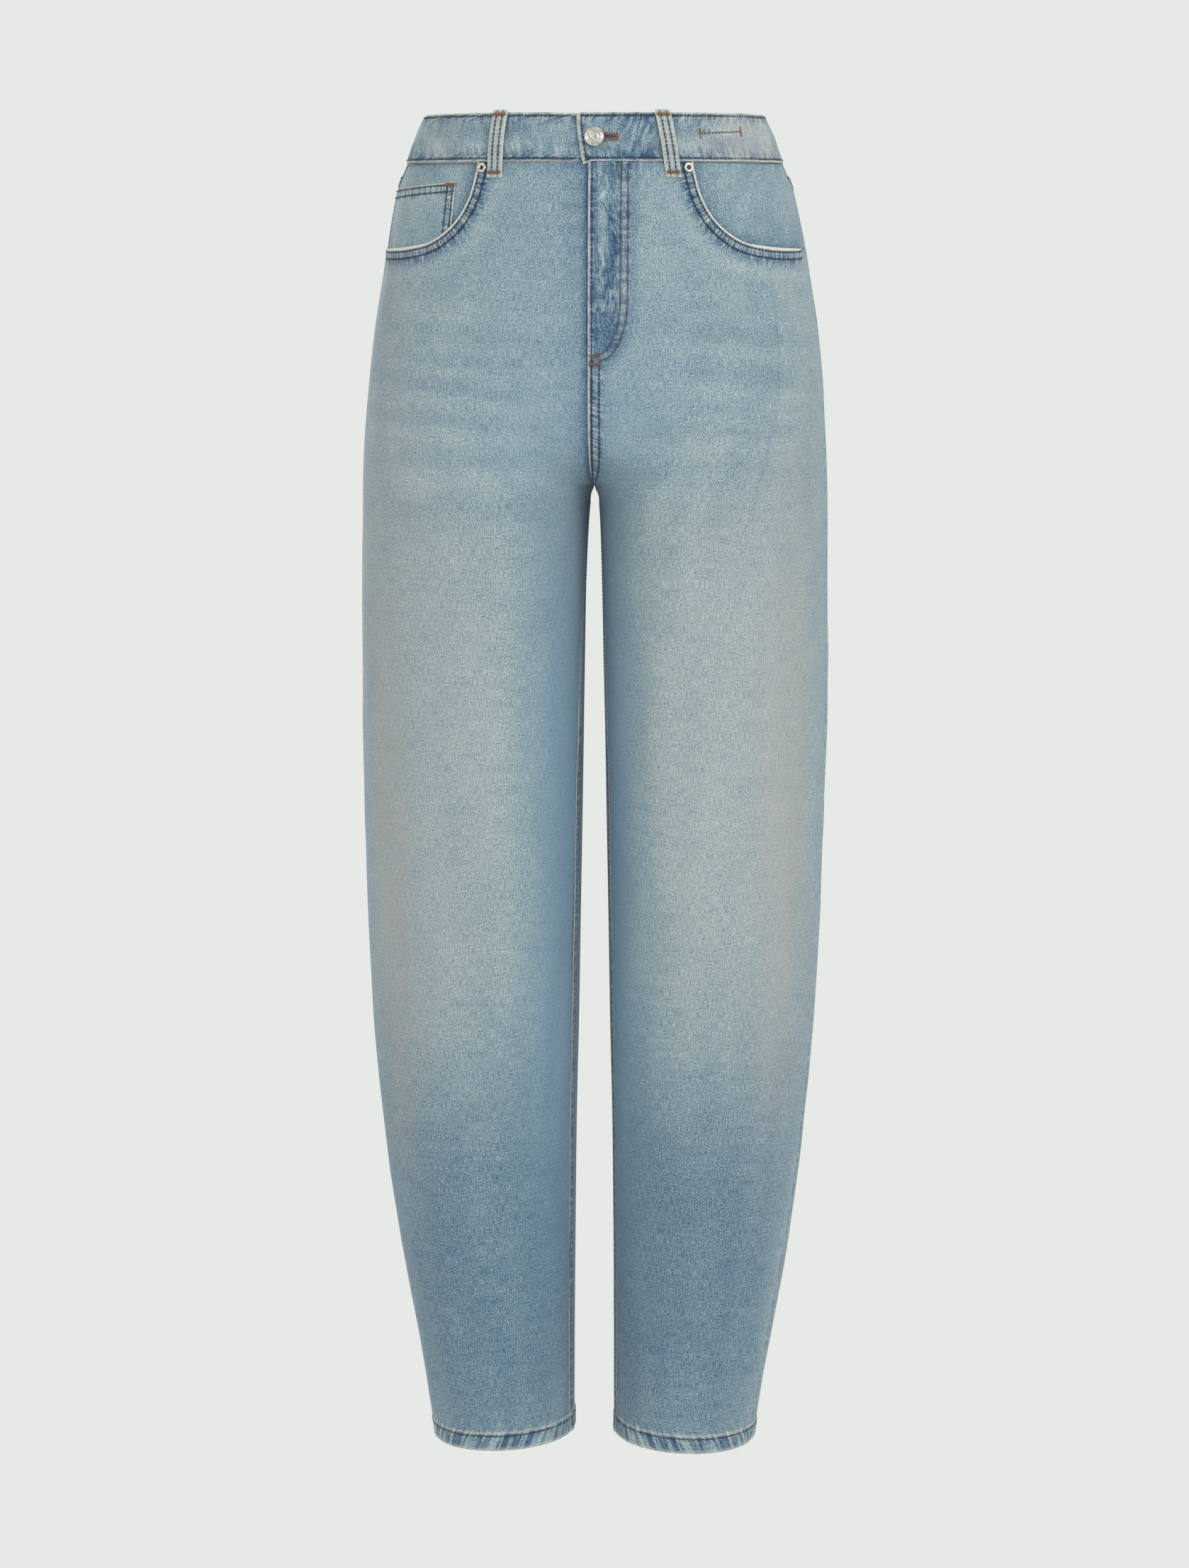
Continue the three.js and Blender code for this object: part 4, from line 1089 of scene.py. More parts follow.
def loop_points(half, face, top, foot, height, aside, raise_by):
    """Places on a belt loop. aside is the distance from its middle line, towards its outer edge."""
    knots = np.array(LOOP_PROFILE)
    lift = np.interp(-height, -knots[:, 0], knots[:, 1]) + raise_by
    z = np.minimum(height, 0)
    turn = turn_at(face, top + (foot - top) * z / knots[-1, 0], z)
    middle, n = skin(half, turn, z, lift), normal_on(half, turn, z)
    along = np.cross(n, np.array([0, 0, 1.0]))
    along /= np.linalg.norm(along, axis=-1, keepdims=True)
    middle = middle + along * np.asarray(aside)[..., None]
    middle[..., 2] += height - z
    return middle


def loop_piece(name, half, face, top, foot):
    share, down = even_grid(LOOP["columns"], LOOP["rows"])
    share = 0.5 - 0.5 * np.cos(np.pi * share)
    height = mix(LOOP_PROFILE[0][0], LOOP_PROFILE[-1][0], down)
    aside = (share - 0.5) * LOOP["wide"]
    edge = LOOP["wide"] / 2 - np.abs(aside)
    ends = np.minimum(LOOP_PROFILE[0][0] - height, height - LOOP_PROFILE[-1][0])
    start = 4200.0 + 20 * LOOPS.index((name, half, face, top, foot))
    f = Field(half, face, np.full(height.shape, 50.0), np.minimum(height, 0), start, u=aside)
    f.z = height
    lines(f.relief, edge, (0, 0.6, -0.7), (LOOP["row"], 0.8, -0.45))
    lines(f.relief, ends, (0, 0.7, -0.5), (3, 1.4, -0.35))
    lines(f.worn, edge, (0, 0.7, 0.6))
    lines(f.worn, ends, (0, 0.9, 0.5))
    f.sew("side", edge - LOOP["row"], height, 0.7, 2, 2.6)
    f.sew("edge", ends + 4, aside, 0.4, 5)
    f.tan += 0.25
    plain_paint(f, 0.74, 70)
    over = loop_points(half, face, top, foot, height, aside, LOOP["thick"] + f.relief)
    under = loop_points(half, face, top, foot, coarse(height), coarse(aside), 0)
    finished(shell(f"loop_{name}", f, over, under), f"belt_loop_{name}")


# The shield behind the zip
SHIELD = {"top": -42, "bottom": -184, "edge": -12, "width": 46, "near": -1.8, "far": -4.3}


def shield_piece():
    share, down = even_grid(24, 60)
    z = mix(SHIELD["top"], SHIELD["bottom"], down)
    narrowing = 1 - 0.45 * smooth((down - 0.86) / 0.14)
    signed = SHIELD["edge"] + SHIELD["width"] * share * narrowing
    half = np.where(signed < 0, RIGHT, LEFT)
    f = Field(half, "front", turn_at("front", np.abs(signed), z), z, 4600.0, u=signed)
    lines(f.worn, np.minimum(share, 1 - share) * SHIELD["width"], (0, 0.9, 0.6))
    plain_paint(f, 0.4, 72)
    lift = mix(SHIELD["near"], SHIELD["far"], smooth(share * 4))
    finished(cloth_shell("shield_cloth", f, lift), "fly_shield")


# Sewing: every stitch is a short bent thread that dips into the cloth at both ends
STITCH = {"pitch": 3.1, "length": 2.9, "radius": 0.55, "dip": 0.3, "rise": 0.12, "sides": 5}
TACK = {"pitch": 0.58, "radius": 0.42, "rise": 0.35, "slant": 0.25}
# Where a thread's rings lie along it, and how large they are
RINGS = ((0.1, 0.62), (0.5, 1.0), (0.9, 0.62))
threads = {"navy": [], "brown": [], "rust": []}


def add_threads(colour, start, end, normal, radius, rise):
    """Keeps threads that run from start to end and stand up by rise in their middle."""
    threads[colour].append((start, end, normal, np.full(len(start), radius), np.full(len(start), rise)))


def garment_point(half, face, u, z, lift):
    turn = turn_at(face, u, z)
    return skin(half, turn, z, lift), normal_on(half, turn, z)


def sew_line(colour, half, face, line, lift, place=garment_point):
    """A row of stitches along a line of girths and heights."""
    line = np.asarray(line, float)
    length = float(np.linalg.norm(np.diff(line, axis=0), axis=1).sum())
    count = max(2, int(round(length / STITCH["pitch"])))
    fine = even_points(line, count * 8 + 1)
    gap = (1 - STITCH["length"] / STITCH["pitch"]) / 2
    at = 8 * (np.arange(count)[:, None] + np.array([gap, 0.5, 1 - gap])).ravel()
    u, z = (np.interp(at, np.arange(len(fine)), fine[:, k]) for k in (0, 1))
    points, normals = place(half, face, u, z, np.full(u.shape, lift))
    points, normals = points.reshape(count, 3, 3), normals.reshape(count, 3, 3)
    add_threads(colour, points[:, 0], points[:, 2], normals[:, 1], STITCH["radius"], STITCH["rise"])


def tack(colour, half, face, u, z, wide, tall, lift, upright=False, place=garment_point):
    """A bar tack: a close bar of slanted threads, wide across and tall up."""
    long_side, short_side = (tall, wide) if upright else (wide, tall)
    count = int(round(long_side / TACK["pitch"]))
    at = np.linspace(-long_side / 2, long_side / 2, count)
    slant = TACK["slant"] * np.where(np.arange(count) % 2, 1, -1)
    sides = []
    for sign in (-1, 1):
        along, across = at + sign * slant, np.full(count, sign * short_side / 2)
        du, dz = (across, along) if upright else (along, across)
        sides.append(place(half, face, u + du, z + dz, np.full(count, lift)))
    add_threads(colour, sides[0][0], sides[1][0], sides[0][1], TACK["radius"], TACK["rise"])


def thread_mesh(name, colour, material):
    start, end, normal, radius, rise = (np.concatenate(v) for v in zip(*threads[colour]))
    rng = np.random.default_rng(90 + len(start))
    along = end - start
    length = np.linalg.norm(along, axis=1, keepdims=True)
    along = along / np.maximum(length, 1e-9)
    side = np.cross(along, normal)
    side /= np.maximum(np.linalg.norm(side, axis=1, keepdims=True), 1e-9)
    up = np.cross(side, along)
    shake = rng.uniform(-0.1, 0.1, (len(start), 2, 1))
    start, end = start + side * shake[:, 0], end + side * shake[:, 1]
    sides = STITCH["sides"]
    angles = np.arange(sides) / sides * 2 * np.pi
    around = np.cos(angles)[None, :, None] * side[:, None] + np.sin(angles)[None, :, None] * up[:, None]
    dip = STITCH["dip"]
    rings = []
    for share, size in RINGS:
        bend = 4 * share * (1 - share)
        centre = mix(start, end, share) + up * (bend * (rise + dip) - dip)[:, None]
        rings.append(centre[:, None] + around * (radius * size)[:, None, None])
    points = np.concatenate([(start - up * dip)[:, None], *rings, (end - up * dip)[:, None]], 1)
    faces = []
    for corners in turned_faces(len(rings), sides):
        for k in range(1, len(corners) - 1):
            faces.append((corners[0], corners[k], corners[k + 1]))
    faces = np.array(faces)[None] + points.shape[1] * np.arange(len(points))[:, None, None]
    piece = make_object(name, points.reshape(-1, 3), faces.reshape(-1, 3).tolist(), material)
    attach(piece, "root")


def turned_faces(rings, sides):
    """Faces of a row of rings between a first and a last point."""
    faces = []
    last = 1 + (rings - 1) * sides
    for k in range(sides):
        n = (k + 1) % sides
        faces.append((0, 1 + n, 1 + k))
        for a in range(1, last, sides):
            faces.append((a + k, a + n, a + sides + n, a + sides + k))
        faces.append((last + k, last + n, last + sides))
    return faces


def straight(start, end, count):
    """A straight line between two places, each a girth and a height."""
    return mix(np.array(start, float), np.array(end, float), np.linspace(0, 1, count)[:, None])


# How far the rows of stitches lie from the waistband's edges, and from each seam or edge of the other pieces
BAND_ROWS = {"top": 2.6, "foot": 1.9, "end": 3.6}
SEWN_ROWS = {
    "opening": (2.2, 7.6),
    "fly": (6.2, 0.8),
    "coin": (2, 7.2),
    "yoke": (2, 7.5),
    "back_pocket": (2, 8),
    "back_pocket_top": (9, 12.5),
    "back_seam": (2, 7.5),
    "inner_seam": (2, 8),
}


def sew_band():
    def place(_half, _face, along, z, lift):
        half, turn = ring_spot(along, z)
        mirror = np.stack([half, half * half, half * half], -1)
        return skin(half, turn, z, lift), bare_normal(turn, z) * mirror

    def sew(line, lift=BAND_OVER - 0.2):
        sew_line("navy", LEFT, "front", line, lift, place)

    for z in (-BAND_ROWS["top"], BAND_BOTTOM + BAND_ROWS["foot"]):
        around = float(2 * table_length(180, z))
        sew(straight((float(lap_end(z)) + BAND_ROWS["end"], z), (around - 12, z), 400))
    heights = np.linspace(-BAND_ROWS["top"], BAND_BOTTOM + 1.4, 20)
    sew(np.stack([lap_end(heights) + BAND_ROWS["end"], heights], 1))
    sew(SEWN_SLOT, BAND_OVER - 0.25)
    for u, z in SEWN_SLOT:
        tack("rust", LEFT, "front", u, z, 2.2, 7, BAND_OVER, True, place)


def sew_front():
    for half, _ in SIDES:
        for inset in SEWN_ROWS["opening"]:
            line = moved_aside(opening_line(half, 120), inset)
            on_panel = line[:, 0] < face_width(half, "front", line[:, 1]) - 1
            sew_line("navy", half, "front", line[on_panel & (line[:, 1] < PANEL_TOP - 1)], 0.3)
    over_fly = FLY["relief"]
    edge = straight((3, PANEL_TOP - 2), (3, CROTCH_START - 60), 40)
    sew_line("navy", LEFT, "front", edge, over_fly - 0.1)
    for inset in SEWN_ROWS["fly"]:
        sew_line("brown", LEFT, "front", fly_line(inset), over_fly - 0.15)
    strip = straight((9, FLY["bottom"] - 4), (9, CROTCH_START - 58), 20)
    sew_line("navy", LEFT, "front", strip, 0.5)
    for z in (-182, -188):
        tack("rust", LEFT, "front", 5.6, z, 9, 2.4, over_fly)
    z = HEM_BOTTOM + HEM_ROW
    for half, _ in SIDES:
        for face in ("front", "back"):
            row = straight((0.5, z), (face_width(half, face, z) - 0.5, z), 60)
            sew_line("navy", half, face, row, 0.35)


def sew_loops():
    for _name, half, face, top, foot in LOOPS:
        def place(_half, _face, aside, z, lift):
            low = np.minimum(z, 0)
            normal = normal_on(half, turn_at(face, top + 0 * z, low), low)
            return loop_points(half, face, top, foot, z, aside, lift), normal

        for aside in (LOOP["row"] - LOOP["wide"] / 2, LOOP["wide"] / 2 - LOOP["row"]):
            row = straight((aside, -2.6), (aside, -46), 20)
            sew_line("navy", half, face, row, LOOP["thick"] - 0.2, place)
        for height in (-2.2, -45.2):
            tack("rust", half, face, 0, height, 9.8, 2.9, LOOP["thick"], place=place)


def sew_coin_pocket():
    lift = COIN_CLOTH + LAYER_GAP

    def place(_half, _face, u, z, raise_by):
        turn = turn_at("front", u, z)
        return skin(RIGHT, turn, z, facing_lift(RIGHT, u, z) + raise_by), normal_on(RIGHT, turn, z)

    u, z = COIN["inner_top"]
    side_z = COIN["outer_top"][1]
    side_u = float(face_width(RIGHT, "front", side_z)) - 1
    foot_u, foot_z = COIN["inner_foot"]
    for inset in SEWN_ROWS["coin"]:
        upper = [(u + 1, z - inset), (side_u, side_z - inset)]
        inner = [(u + inset, z - 1), (foot_u + inset, foot_z)]
        for line in (upper, inner):
            sew_line("navy", RIGHT, "front", line, lift - 0.15, place)
    tack("rust", RIGHT, "front", u + 4.8, z - 2.1, 9, 2.9, lift, place=place)


def sew_back():
    lift = CLOTH + LAYER_GAP
    for half, _ in SIDES:
        height = yoke_height(np.linspace(0.01, 0.99, 60))
        yoke = np.stack([np.linspace(0.01, 0.99, 60) * face_width(half, "back", height), height], 1)
        for rise in SEWN_ROWS["yoke"]:
            sew_line("navy", half, "back", yoke + (0, rise), 0.3)
        top, low = pocket_corners(half)
        outline = np.array([top[0], *low, top[1]])
        for inset in SEWN_ROWS["back_pocket"]:
            sew_line("navy", half, "back", inset_line(outline, inset), lift)
        for drop in SEWN_ROWS["back_pocket_top"]:
            sew_line("navy", half, "back", top + ((2, -drop), (-2, -drop)), lift + 0.25)
        for corner, away in zip(top, (4.5, -4.5)):
            tack("rust", half, "back", corner[0] + away, corner[1] - 1.9, 8, 2.6, lift)
    for u in SEWN_ROWS["back_seam"]:
        sew_line("navy", LEFT, "back", straight((u, PANEL_TOP - 2), (u, CROTCH + 12), 50), 0.45)
    leg = np.linspace(CROTCH - 14, HEM_BOTTOM + 3, 160)
    for half, _ in SIDES:
        for u in SEWN_ROWS["inner_seam"]:
            sew_line("brown", half, "back", np.stack([u + set_back(leg), leg], 1), 0.3)


def inset_line(outline, inset):
    """The outline of a pocket's two sides and foot, moved towards its middle."""
    middle = outline.mean(axis=0)
    moved = []
    for k, p in enumerate(outline):
        edges = [outline[j + 1] - outline[j] for j in (k - 1, k) if 0 <= j < len(outline) - 1]
        sides = []
        for d in edges:
            n = np.array([-d[1], d[0]]) / np.hypot(*d)
            sides.append(n if np.dot(middle - p, n) > 0 else -n)
        if len(sides) == 1:
            moved.append(p + inset * sides[0])
        else:
            both = sides[0] + sides[1]
            moved.append(p + 2 * inset * both / np.dot(both, both))
    return np.array(moved)


# Button and rivets
BUTTON_PROFILE = (
    # radius, height above the cap's back
    (0, -4.0), (2.4, -4.0), (2.4, 0), (5.6, 0), (6.7, 0.05), (7.2, 0.35), (7.45, 0.85), (7.5, 1.2),
    (7.35, 1.6), (7.0, 1.95), (6.6, 2.1), (6.25, 2.02), (6.0, 1.8), (5.8, 1.72), (5.5, 1.8), (5.2, 2.0),
    (4.9, 2.06), (4.6, 1.98), (4.4, 1.88), (3.6, 1.98), (2.9, 2.06), (2.7, 2.22), (2.4, 2.26), (2.1, 2.14),
    (1.4, 2.18), (0, 2.22),
)
RIVET = {"girth": 79.5, "z": -41.2}
RIVET_PROFILE = (
    (0, 0), (3.7, 0), (3.95, 0.3), (3.9, 0.7), (3.6, 1.15), (3.0, 1.4), (2.3, 1.3), (1.8, 1.05), (1.5, 0.65),
    (1.4, 0.5), (0, 0.5),
)
RIVET_CENTRE = ((0, 0.4), (1.25, 0.4), (1.2, 0.7), (0.95, 1.0), (0.6, 1.15), (0, 1.2))


def lathe(name, profile, segments, place, normal, material):
    """A turned piece that stands on a point of the garment."""
    turns = np.arange(segments) / segments * 2 * np.pi
    up = np.asarray(normal)
    side = np.cross((0, 0, 1.0), up)
    side /= np.linalg.norm(side)
    over = np.cross(up, side)
    around = np.cos(turns)[:, None] * side + np.sin(turns)[:, None] * over
    points = [place + up * profile[0][1]]
    for radius, height in profile[1:-1]:
        points += list(place + up * height + around * radius)
    points.append(place + up * profile[-1][1])
    return make_object(name, points, turned_faces(len(profile) - 2, segments), material)


def add_button():
    point, normal = garment_point(LEFT, "front", BUTTON["girth"], BUTTON["z"], 0.0)
    place = point + normal * (BAND_OVER + 0.8)
    finished(lathe("button_cap", BUTTON_PROFILE, 56, place, normal, SILVER), "button")


def add_rivets():
    for half, word in SIDES:
        point, normal = garment_point(half, "front", RIVET["girth"] - half * DETAIL_SHIFT, RIVET["z"], 0.0)
        place = point + normal * (LAYER_GAP + 0.15)
        finished(lathe(f"rivet_ring_{word}", RIVET_PROFILE, 40, place, normal, SILVER), f"rivet_{word}")
        centre = lathe(f"rivet_centre_{word}", RIVET_CENTRE, 24, place, normal, DARK_METAL)
        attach(centre, "root")


def sew_buttonhole():
    """Close stitches on both sides of the slot, down to a tack at its end."""
    at = np.arange(11.0, 21.6, 0.42)
    share = (at - at[0]) / (at[-1] - at[0])
    lift = BAND_OVER + 0.35
    for sign in (-1, 1):
        inner = BUTTON["z"] + sign * mix(1.5, 0.2, share)
        outer = BUTTON["z"] + sign * mix(4.0, 2.2, share)
        a, n = garment_point(LEFT, "front", at, inner, lift)
        b, _ = garment_point(LEFT, "front", at + 0.3, outer, lift)
        add_threads("rust", a, b, n, 0.5, 0.5)
    tack("rust", LEFT, "front", 21.9, BUTTON["z"], 2.0, 5.2, BAND_OVER + 0.3, True)


# Materials
def srgb(r, g, b):
    c = np.array([r, g, b]) / 255
    return (*np.where(c <= 0.04045, c / 12.92, ((c + 0.055) / 1.055) ** 2.4), 1.0)


class Nodes:
    """Short names for the shader nodes that the materials are made of."""

    def __init__(self, name):
        self.material = bpy.data.materials.new(name)
        self.material.use_nodes = True
        self.tree = self.material.node_tree
        self.shader = self.tree.nodes["Principled BSDF"]

    def surface(self, **values):
        """Sets the shader's inputs, whose names are written with _ for a space."""
        for name, value in values.items():
            self.put(self.shader.inputs[name.replace("_", " ")], value)

    def node(self, kind, **settings):
        made = self.tree.nodes.new(kind)
        for key, value in settings.items():
            setattr(made, key, value)
        return made

    def put(self, socket, value):
        if isinstance(value, bpy.types.NodeSocket):
            self.tree.links.new(value, socket)
        else:
            socket.default_value = value

    def place(self):
        """Place on the object, in metres."""
        return self.node("ShaderNodeTexCoord").outputs["Object"]

    def attribute(self, name, vector=False):
        made = self.node("ShaderNodeAttribute", attribute_name=name)
        return made.outputs["Vector" if vector else "Fac"]

    def math(self, operation, a, b=0.0, c=0.0, clamp=False):
        made = self.node("ShaderNodeMath", operation=operation, use_clamp=clamp)
        for socket, value in zip(made.inputs, (a, b, c)):
            self.put(socket, value)
        return made.outputs[0]

    def scaled(self, vector, scale):
        made = self.node("ShaderNodeVectorMath", operation="MULTIPLY")
        self.put(made.inputs[0], vector)
        self.put(made.inputs[1], scale)
        return made.outputs[0]

    def noise(self, vector, detail=2.0, roughness=0.5, scale=1.0):
        made = self.node("ShaderNodeTexNoise")
        values = {"Vector": vector, "Scale": scale, "Detail": detail, "Roughness": roughness}
        for name, value in values.items():
            self.put(made.inputs[name], value)
        return made.outputs["Fac"]

    def spread(self, value, low, high, to_low=0.0, to_high=1.0):
        made = self.node("ShaderNodeMapRange", interpolation_type="SMOOTHSTEP")
        for socket, v in zip(made.inputs, (value, low, high, to_low, to_high)):
            self.put(socket, v)
        return made.outputs[0]

    def ramp(self, value, stops):
        made = self.node("ShaderNodeValToRGB")
        ramp = made.color_ramp
        ramp.elements[0].position, ramp.elements[0].color = stops[0]
        ramp.elements[1].position, ramp.elements[1].color = stops[-1]
        for place, colour in stops[1:-1]:
            ramp.elements.new(place).color = colour
        self.put(made.inputs[0], value)
        return made.outputs[0]

    def blend(self, share, a, b, kind="MIX"):
        made = self.node("ShaderNodeMix", data_type="RGBA", blend_type=kind)
        self.put(made.inputs[0], share)
        self.put(made.inputs[6], a)
        self.put(made.inputs[7], b)
        return made.outputs[2]

    def bump(self, height, strength, distance, normal=None):
        made = self.node("ShaderNodeBump")
        for name, value in (("Strength", strength), ("Distance", distance), ("Height", height)):
            self.put(made.inputs[name], value)
        if normal is not None:
            self.put(made.inputs["Normal"], normal)
        return made.outputs[0]


WASH_STOPS = (
    (0.0, srgb(44, 70, 106)),
    (0.22, srgb(84, 111, 134)),
    (0.45, srgb(120, 143, 155)),
    (0.7, srgb(156, 171, 175)),
    (1.0, srgb(202, 203, 195)),
)
CREAM = srgb(222, 219, 206)
TAN = srgb(172, 167, 161)
# A brighter blue, partly painted light on the inner legs where shade falls between them
UNWORN_BLUE_AND_PAINTED_LIGHT = srgb(124, 156, 180)


# Yarn: fine flecks, longer slubs, weft threads and a soft mottle. per_mm is how many there are in a
# millimetre across and along the yarn, and strength is what they add to the wash.
YARN = (
    # per_mm, detail, roughness, strength
    ((1.25, 0.75, 0.0), 2.0, 0.8, 1.9),
    ((1.7, 0.12, 0.0), 2.0, 0.5, 0.85),
    ((0.03, 0.9, 0.0), 1.0, 0.5, 0.2),
    ((0.05, 0.035, 0.0), 5.0, 0.65, 0.12),
)
CRINKLE_POWER = 1.15


def denim():
    n = Nodes("washed_denim")
    cloth = n.attribute("cloth", True)
    yarn, grains = 0.0, []
    for per_mm, detail, roughness, strength in YARN:
        grains.append(n.noise(n.scaled(cloth, per_mm), detail, roughness))
        yarn = n.math("MULTIPLY_ADD", n.math("SUBTRACT", grains[-1], 0.5), strength, yarn)
    fleck, mottle = grains[0], grains[-1]
    # Puckers: uneven ridges across each sewn line, and painted shade with some dirt in the groove of each row
    puckers_and_groove_shade, raised = 0.0, 0.0
    for name in CHANNELS:
        power = CRINKLE_POWER if name == "crinkle" else 1.0
        split = n.node("ShaderNodeSeparateXYZ")
        n.put(split.inputs[0], n.attribute(f"sewn_{name}", True))
        along, across, strength = split.outputs
        place = n.node("ShaderNodeCombineXYZ")
        n.put(place.inputs[0], along)
        n.put(place.inputs[1], n.math("MULTIPLY", across, 0.35))
        ridge = n.spread(n.noise(place.outputs[0], 1.5, 0.5), 0.34, 0.66)
        groove = n.spread(n.math("ABSOLUTE", n.math("SUBTRACT", across, 1.0)), 0.08, 0.42, 1.0, 0.0)
        shaped = n.math("MULTIPLY_ADD", groove, -0.75, n.math("SUBTRACT", ridge, 0.54))
        puckers_and_groove_shade = n.math("MULTIPLY_ADD", n.math("MULTIPLY", shaped, power), strength, puckers_and_groove_shade)
        raised = n.math("MULTIPLY_ADD", n.math("MULTIPLY_ADD", groove, -0.8, ridge), strength, raised)
    wash = n.math("ADD", n.attribute("wash"), yarn)
    # The puckers lighten and darken the colour, and the groove's painted shade darkens it at each row
    wash = n.math("MULTIPLY_ADD", puckers_and_groove_shade, 0.6, wash, clamp=True)
    colour = n.ramp(wash, WASH_STOPS)
    tan = n.math("MULTIPLY", n.attribute("tan"), n.spread(wash, 0.1, 0.8, 0.5, 1.0), clamp=True)
    colour = n.blend(tan, colour, TAN)
    # Negative tan mixes in the brighter blue, which is partly painted light on the inner legs
    colour = n.blend(n.math("MULTIPLY", n.attribute("tan"), -1.0, clamp=True), colour, UNWORN_BLUE_AND_PAINTED_LIGHT)
    frayed = n.math("MULTIPLY", n.attribute("worn"), n.spread(fleck, 0.25, 0.7, 0.4, 1.1), clamp=True)
    colour = n.blend(frayed, colour, CREAM)
    weave = n.blend(n.spread(fleck, 0.3, 0.7), srgb(158, 170, 180), srgb(196, 202, 204))
    colour = n.blend(n.attribute("inside"), colour, weave)
    normal = n.bump(raised, 0.7, 0.0013)
    normal = n.bump(fleck, 0.5, 0.00045, normal)
    normal = n.bump(mottle, 0.35, 0.0012, normal)
    n.surface(Base_Color=colour, Roughness=n.spread(fleck, 0.2, 0.8, 0.95, 0.82), Normal=normal)
    n.surface(Specular_IOR_Level=0.25, Sheen_Weight=0.12, Sheen_Roughness=0.5)
    return n.material


def speckled(name, first, second, grain, rough, relief, metallic=0.0):
    """Two shades in fine specks. grain is their detail and scale, and rough is each shade's roughness."""
    n = Nodes(name)
    specks = n.noise(n.place(), grain[0], 0.6, scale=grain[1])
    n.surface(
        Base_Color=n.blend(n.spread(specks, 0.35, 0.7), first, second),
        Roughness=n.spread(specks, 0.2, 0.8, *rough),
        Normal=n.bump(specks, relief, 0.0002),
        Metallic=metallic,
    )
    return n.material


def thread_material(name, base, pale):
    return speckled(name, base, pale, (3.0, 900.0), (0.75, 0.55), 0.4)


def metal_material(name, bright, dull, roughness):
    return speckled(name, bright, dull, (4.0, 420.0), (roughness, roughness + 0.2), 0.25, 1.0)


DENIM = denim()
THREADS = {
    "navy": thread_material("navy_thread", srgb(44, 42, 50), srgb(82, 70, 70)),
    "brown": thread_material("brown_thread", srgb(84, 62, 58), srgb(128, 98, 86)),
    "rust": thread_material("rust_thread", srgb(104, 70, 42), srgb(158, 112, 70)),
}
SILVER = metal_material("silver_metal", srgb(214, 212, 205), srgb(160, 156, 148), 0.32)
DARK_METAL = metal_material("dark_metal", srgb(84, 80, 76), srgb(52, 50, 48), 0.5)


# The zip's teeth: metres from one to the next, where their middle lies and how wide they are to each side
TEETH = {"pitch": 0.0021, "middle": 0.012, "half_width": 0.0027}


def zip_material():
    """Metal teeth on a woven tape, told apart by their distance from the zip's middle line."""
    n = Nodes("metal_zip")
    split = n.node("ShaderNodeSeparateXYZ")
    place = n.place()
    n.put(split.inputs[0], place)
    x, _, z = split.outputs
    teeth = n.math("SINE", n.math("MULTIPLY", z, 2 * np.pi / TEETH["pitch"]))
    from_middle = n.math("ABSOLUTE", n.math("SUBTRACT", x, TEETH["middle"]))
    on_teeth = n.math("LESS_THAN", from_middle, TEETH["half_width"])
    tape = n.blend(n.noise(place, 3.0, 0.6, scale=900.0), srgb(58, 74, 98), srgb(84, 102, 124))
    # Painted shade: dark bands in the gaps between the teeth, which are not modelled, alternate with the
    # teeth's own colour
    metal = n.blend(n.spread(teeth, -0.3, 0.4), srgb(46, 44, 40), srgb(168, 158, 134))
    n.surface(
        Base_Color=n.blend(on_teeth, tape, metal),
        Metallic=n.math("MULTIPLY", on_teeth, 0.9),
        Roughness=n.spread(on_teeth, 0, 1, 0.9, 0.4),
        Normal=n.bump(n.math("MULTIPLY", teeth, on_teeth), 0.6, 0.0006),
    )
    return n.material


for half, _ in SIDES:
    for face in ("front", "back"):
        panel_piece(half, face)
    facing_piece(half)
    yoke_piece(half)
    back_pocket_piece(half)
waistband_piece()
coin_piece()
shield_piece()
for row in LOOPS:
    loop_piece(*row)
for slot in bpy.data.objects["zip"].material_slots:
    slot.material = zip_material()
add_button()
add_rivets()
sew_band()
sew_front()
sew_loops()
sew_coin_pocket()
sew_back()
sew_buttonhole()
for colour, material in THREADS.items():
    thread_mesh(f"stitches_{colour}", colour, material)


# Camera, floor and light
CAMERA = {"distance": 3200.0, "height": -100.0, "azimuth": 3.0, "tilt": 7.495, "lens": 93.85, "sensor": 36.0}
BACKGROUND = (0.791, 0.815, 0.791, 1.0)
FLOOR = {"height": -1600.0, "radius": 1150.0}


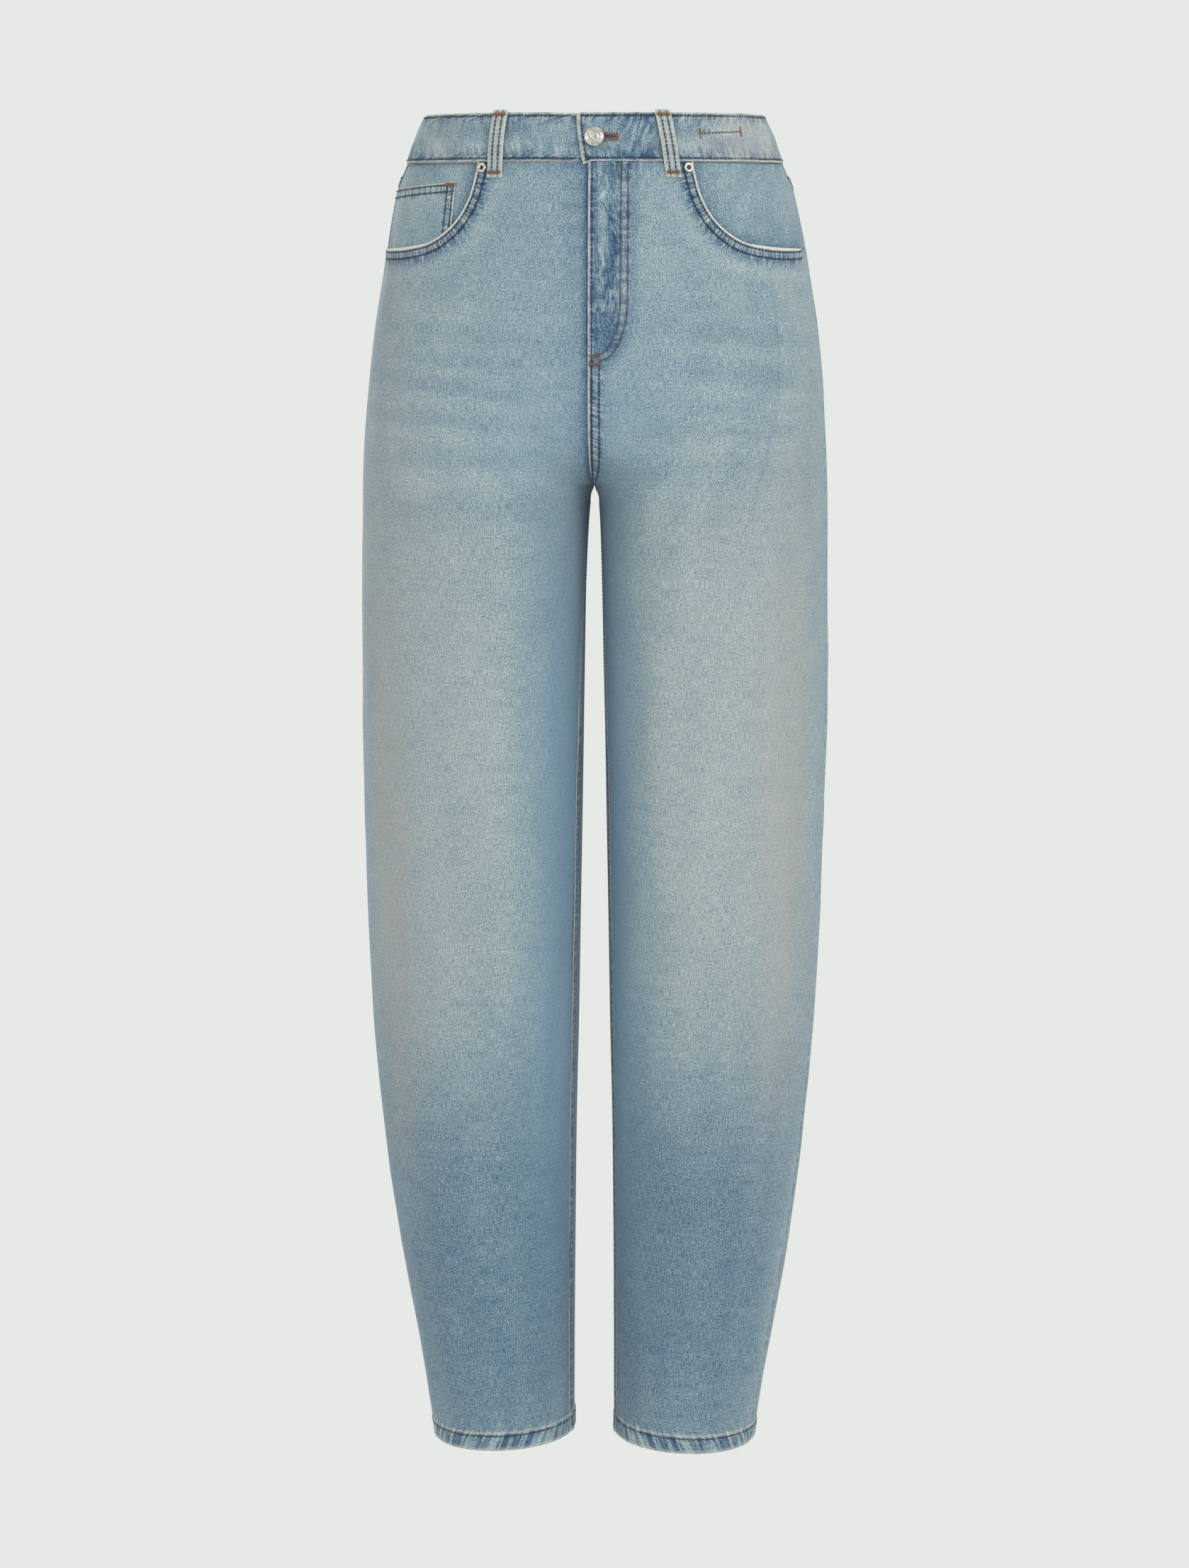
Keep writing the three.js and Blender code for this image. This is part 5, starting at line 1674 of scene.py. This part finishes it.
def place_camera():
    data = bpy.data.cameras.new("camera")
    data.lens, data.sensor_width = CAMERA["lens"], CAMERA["sensor"]
    data.clip_end = 50
    camera = bpy.data.objects.new("camera", data)
    around, down = np.radians(CAMERA["azimuth"]), np.radians(CAMERA["tilt"])
    distance = CAMERA["distance"] * MM
    camera.location = (distance * np.sin(around), -distance * np.cos(around), CAMERA["height"] * MM)
    look = Vector((-np.sin(around) * np.cos(down), np.cos(around) * np.cos(down), -np.sin(down)))
    camera.rotation_euler = look.to_track_quat("-Z", "Y").to_euler()
    bpy.context.collection.objects.link(camera)
    bpy.context.scene.camera = camera


def place_floor():
    n = Nodes("pale_floor")
    grain = n.noise(n.place(), 3.0, 0.5, scale=40.0)
    n.surface(Base_Color=n.blend(grain, srgb(222, 223, 221), srgb(226, 227, 225)), Roughness=0.9)
    turns = np.arange(64) / 64 * 2 * np.pi
    rim = [(FLOOR["radius"] * np.cos(a), FLOOR["radius"] * np.sin(a), FLOOR["height"]) for a in turns]
    mesh = bpy.data.meshes.new("floor")
    mesh.from_pydata((np.array(rim) * MM).tolist(), [], [list(range(len(rim)))])
    mesh.materials.append(n.material)
    floor = bpy.data.objects.new("floor", mesh)
    bpy.context.collection.objects.link(floor)


LAMPS = (
    # name, place in metres, size, power
    ("key", (1.9, -2.6, 0.9), 1.4, 42),
    ("fill", (-2.4, -1.6, 0.2), 1.8, 10),
    ("back", (-1.4, 2.8, 0.9), 1.6, 30),
)
LAMP_TARGET = Vector((0, 0, -0.5))


def place_light():
    world = bpy.data.worlds.new("studio")
    world.use_nodes = True
    world.node_tree.nodes["Background"].inputs[0].default_value = BACKGROUND
    bpy.context.scene.world = world
    for name, place, size, power in LAMPS:
        data = bpy.data.lights.new(name, "AREA")
        data.shape, data.size, data.energy = "DISK", size, power
        lamp = bpy.data.objects.new(name, data)
        lamp.location = place
        lamp.rotation_euler = (LAMP_TARGET - Vector(place)).to_track_quat("-Z", "Y").to_euler()
        bpy.context.collection.objects.link(lamp)
    bpy.context.scene.view_settings.view_transform = "Standard"


place_camera()
place_floor()
place_light()
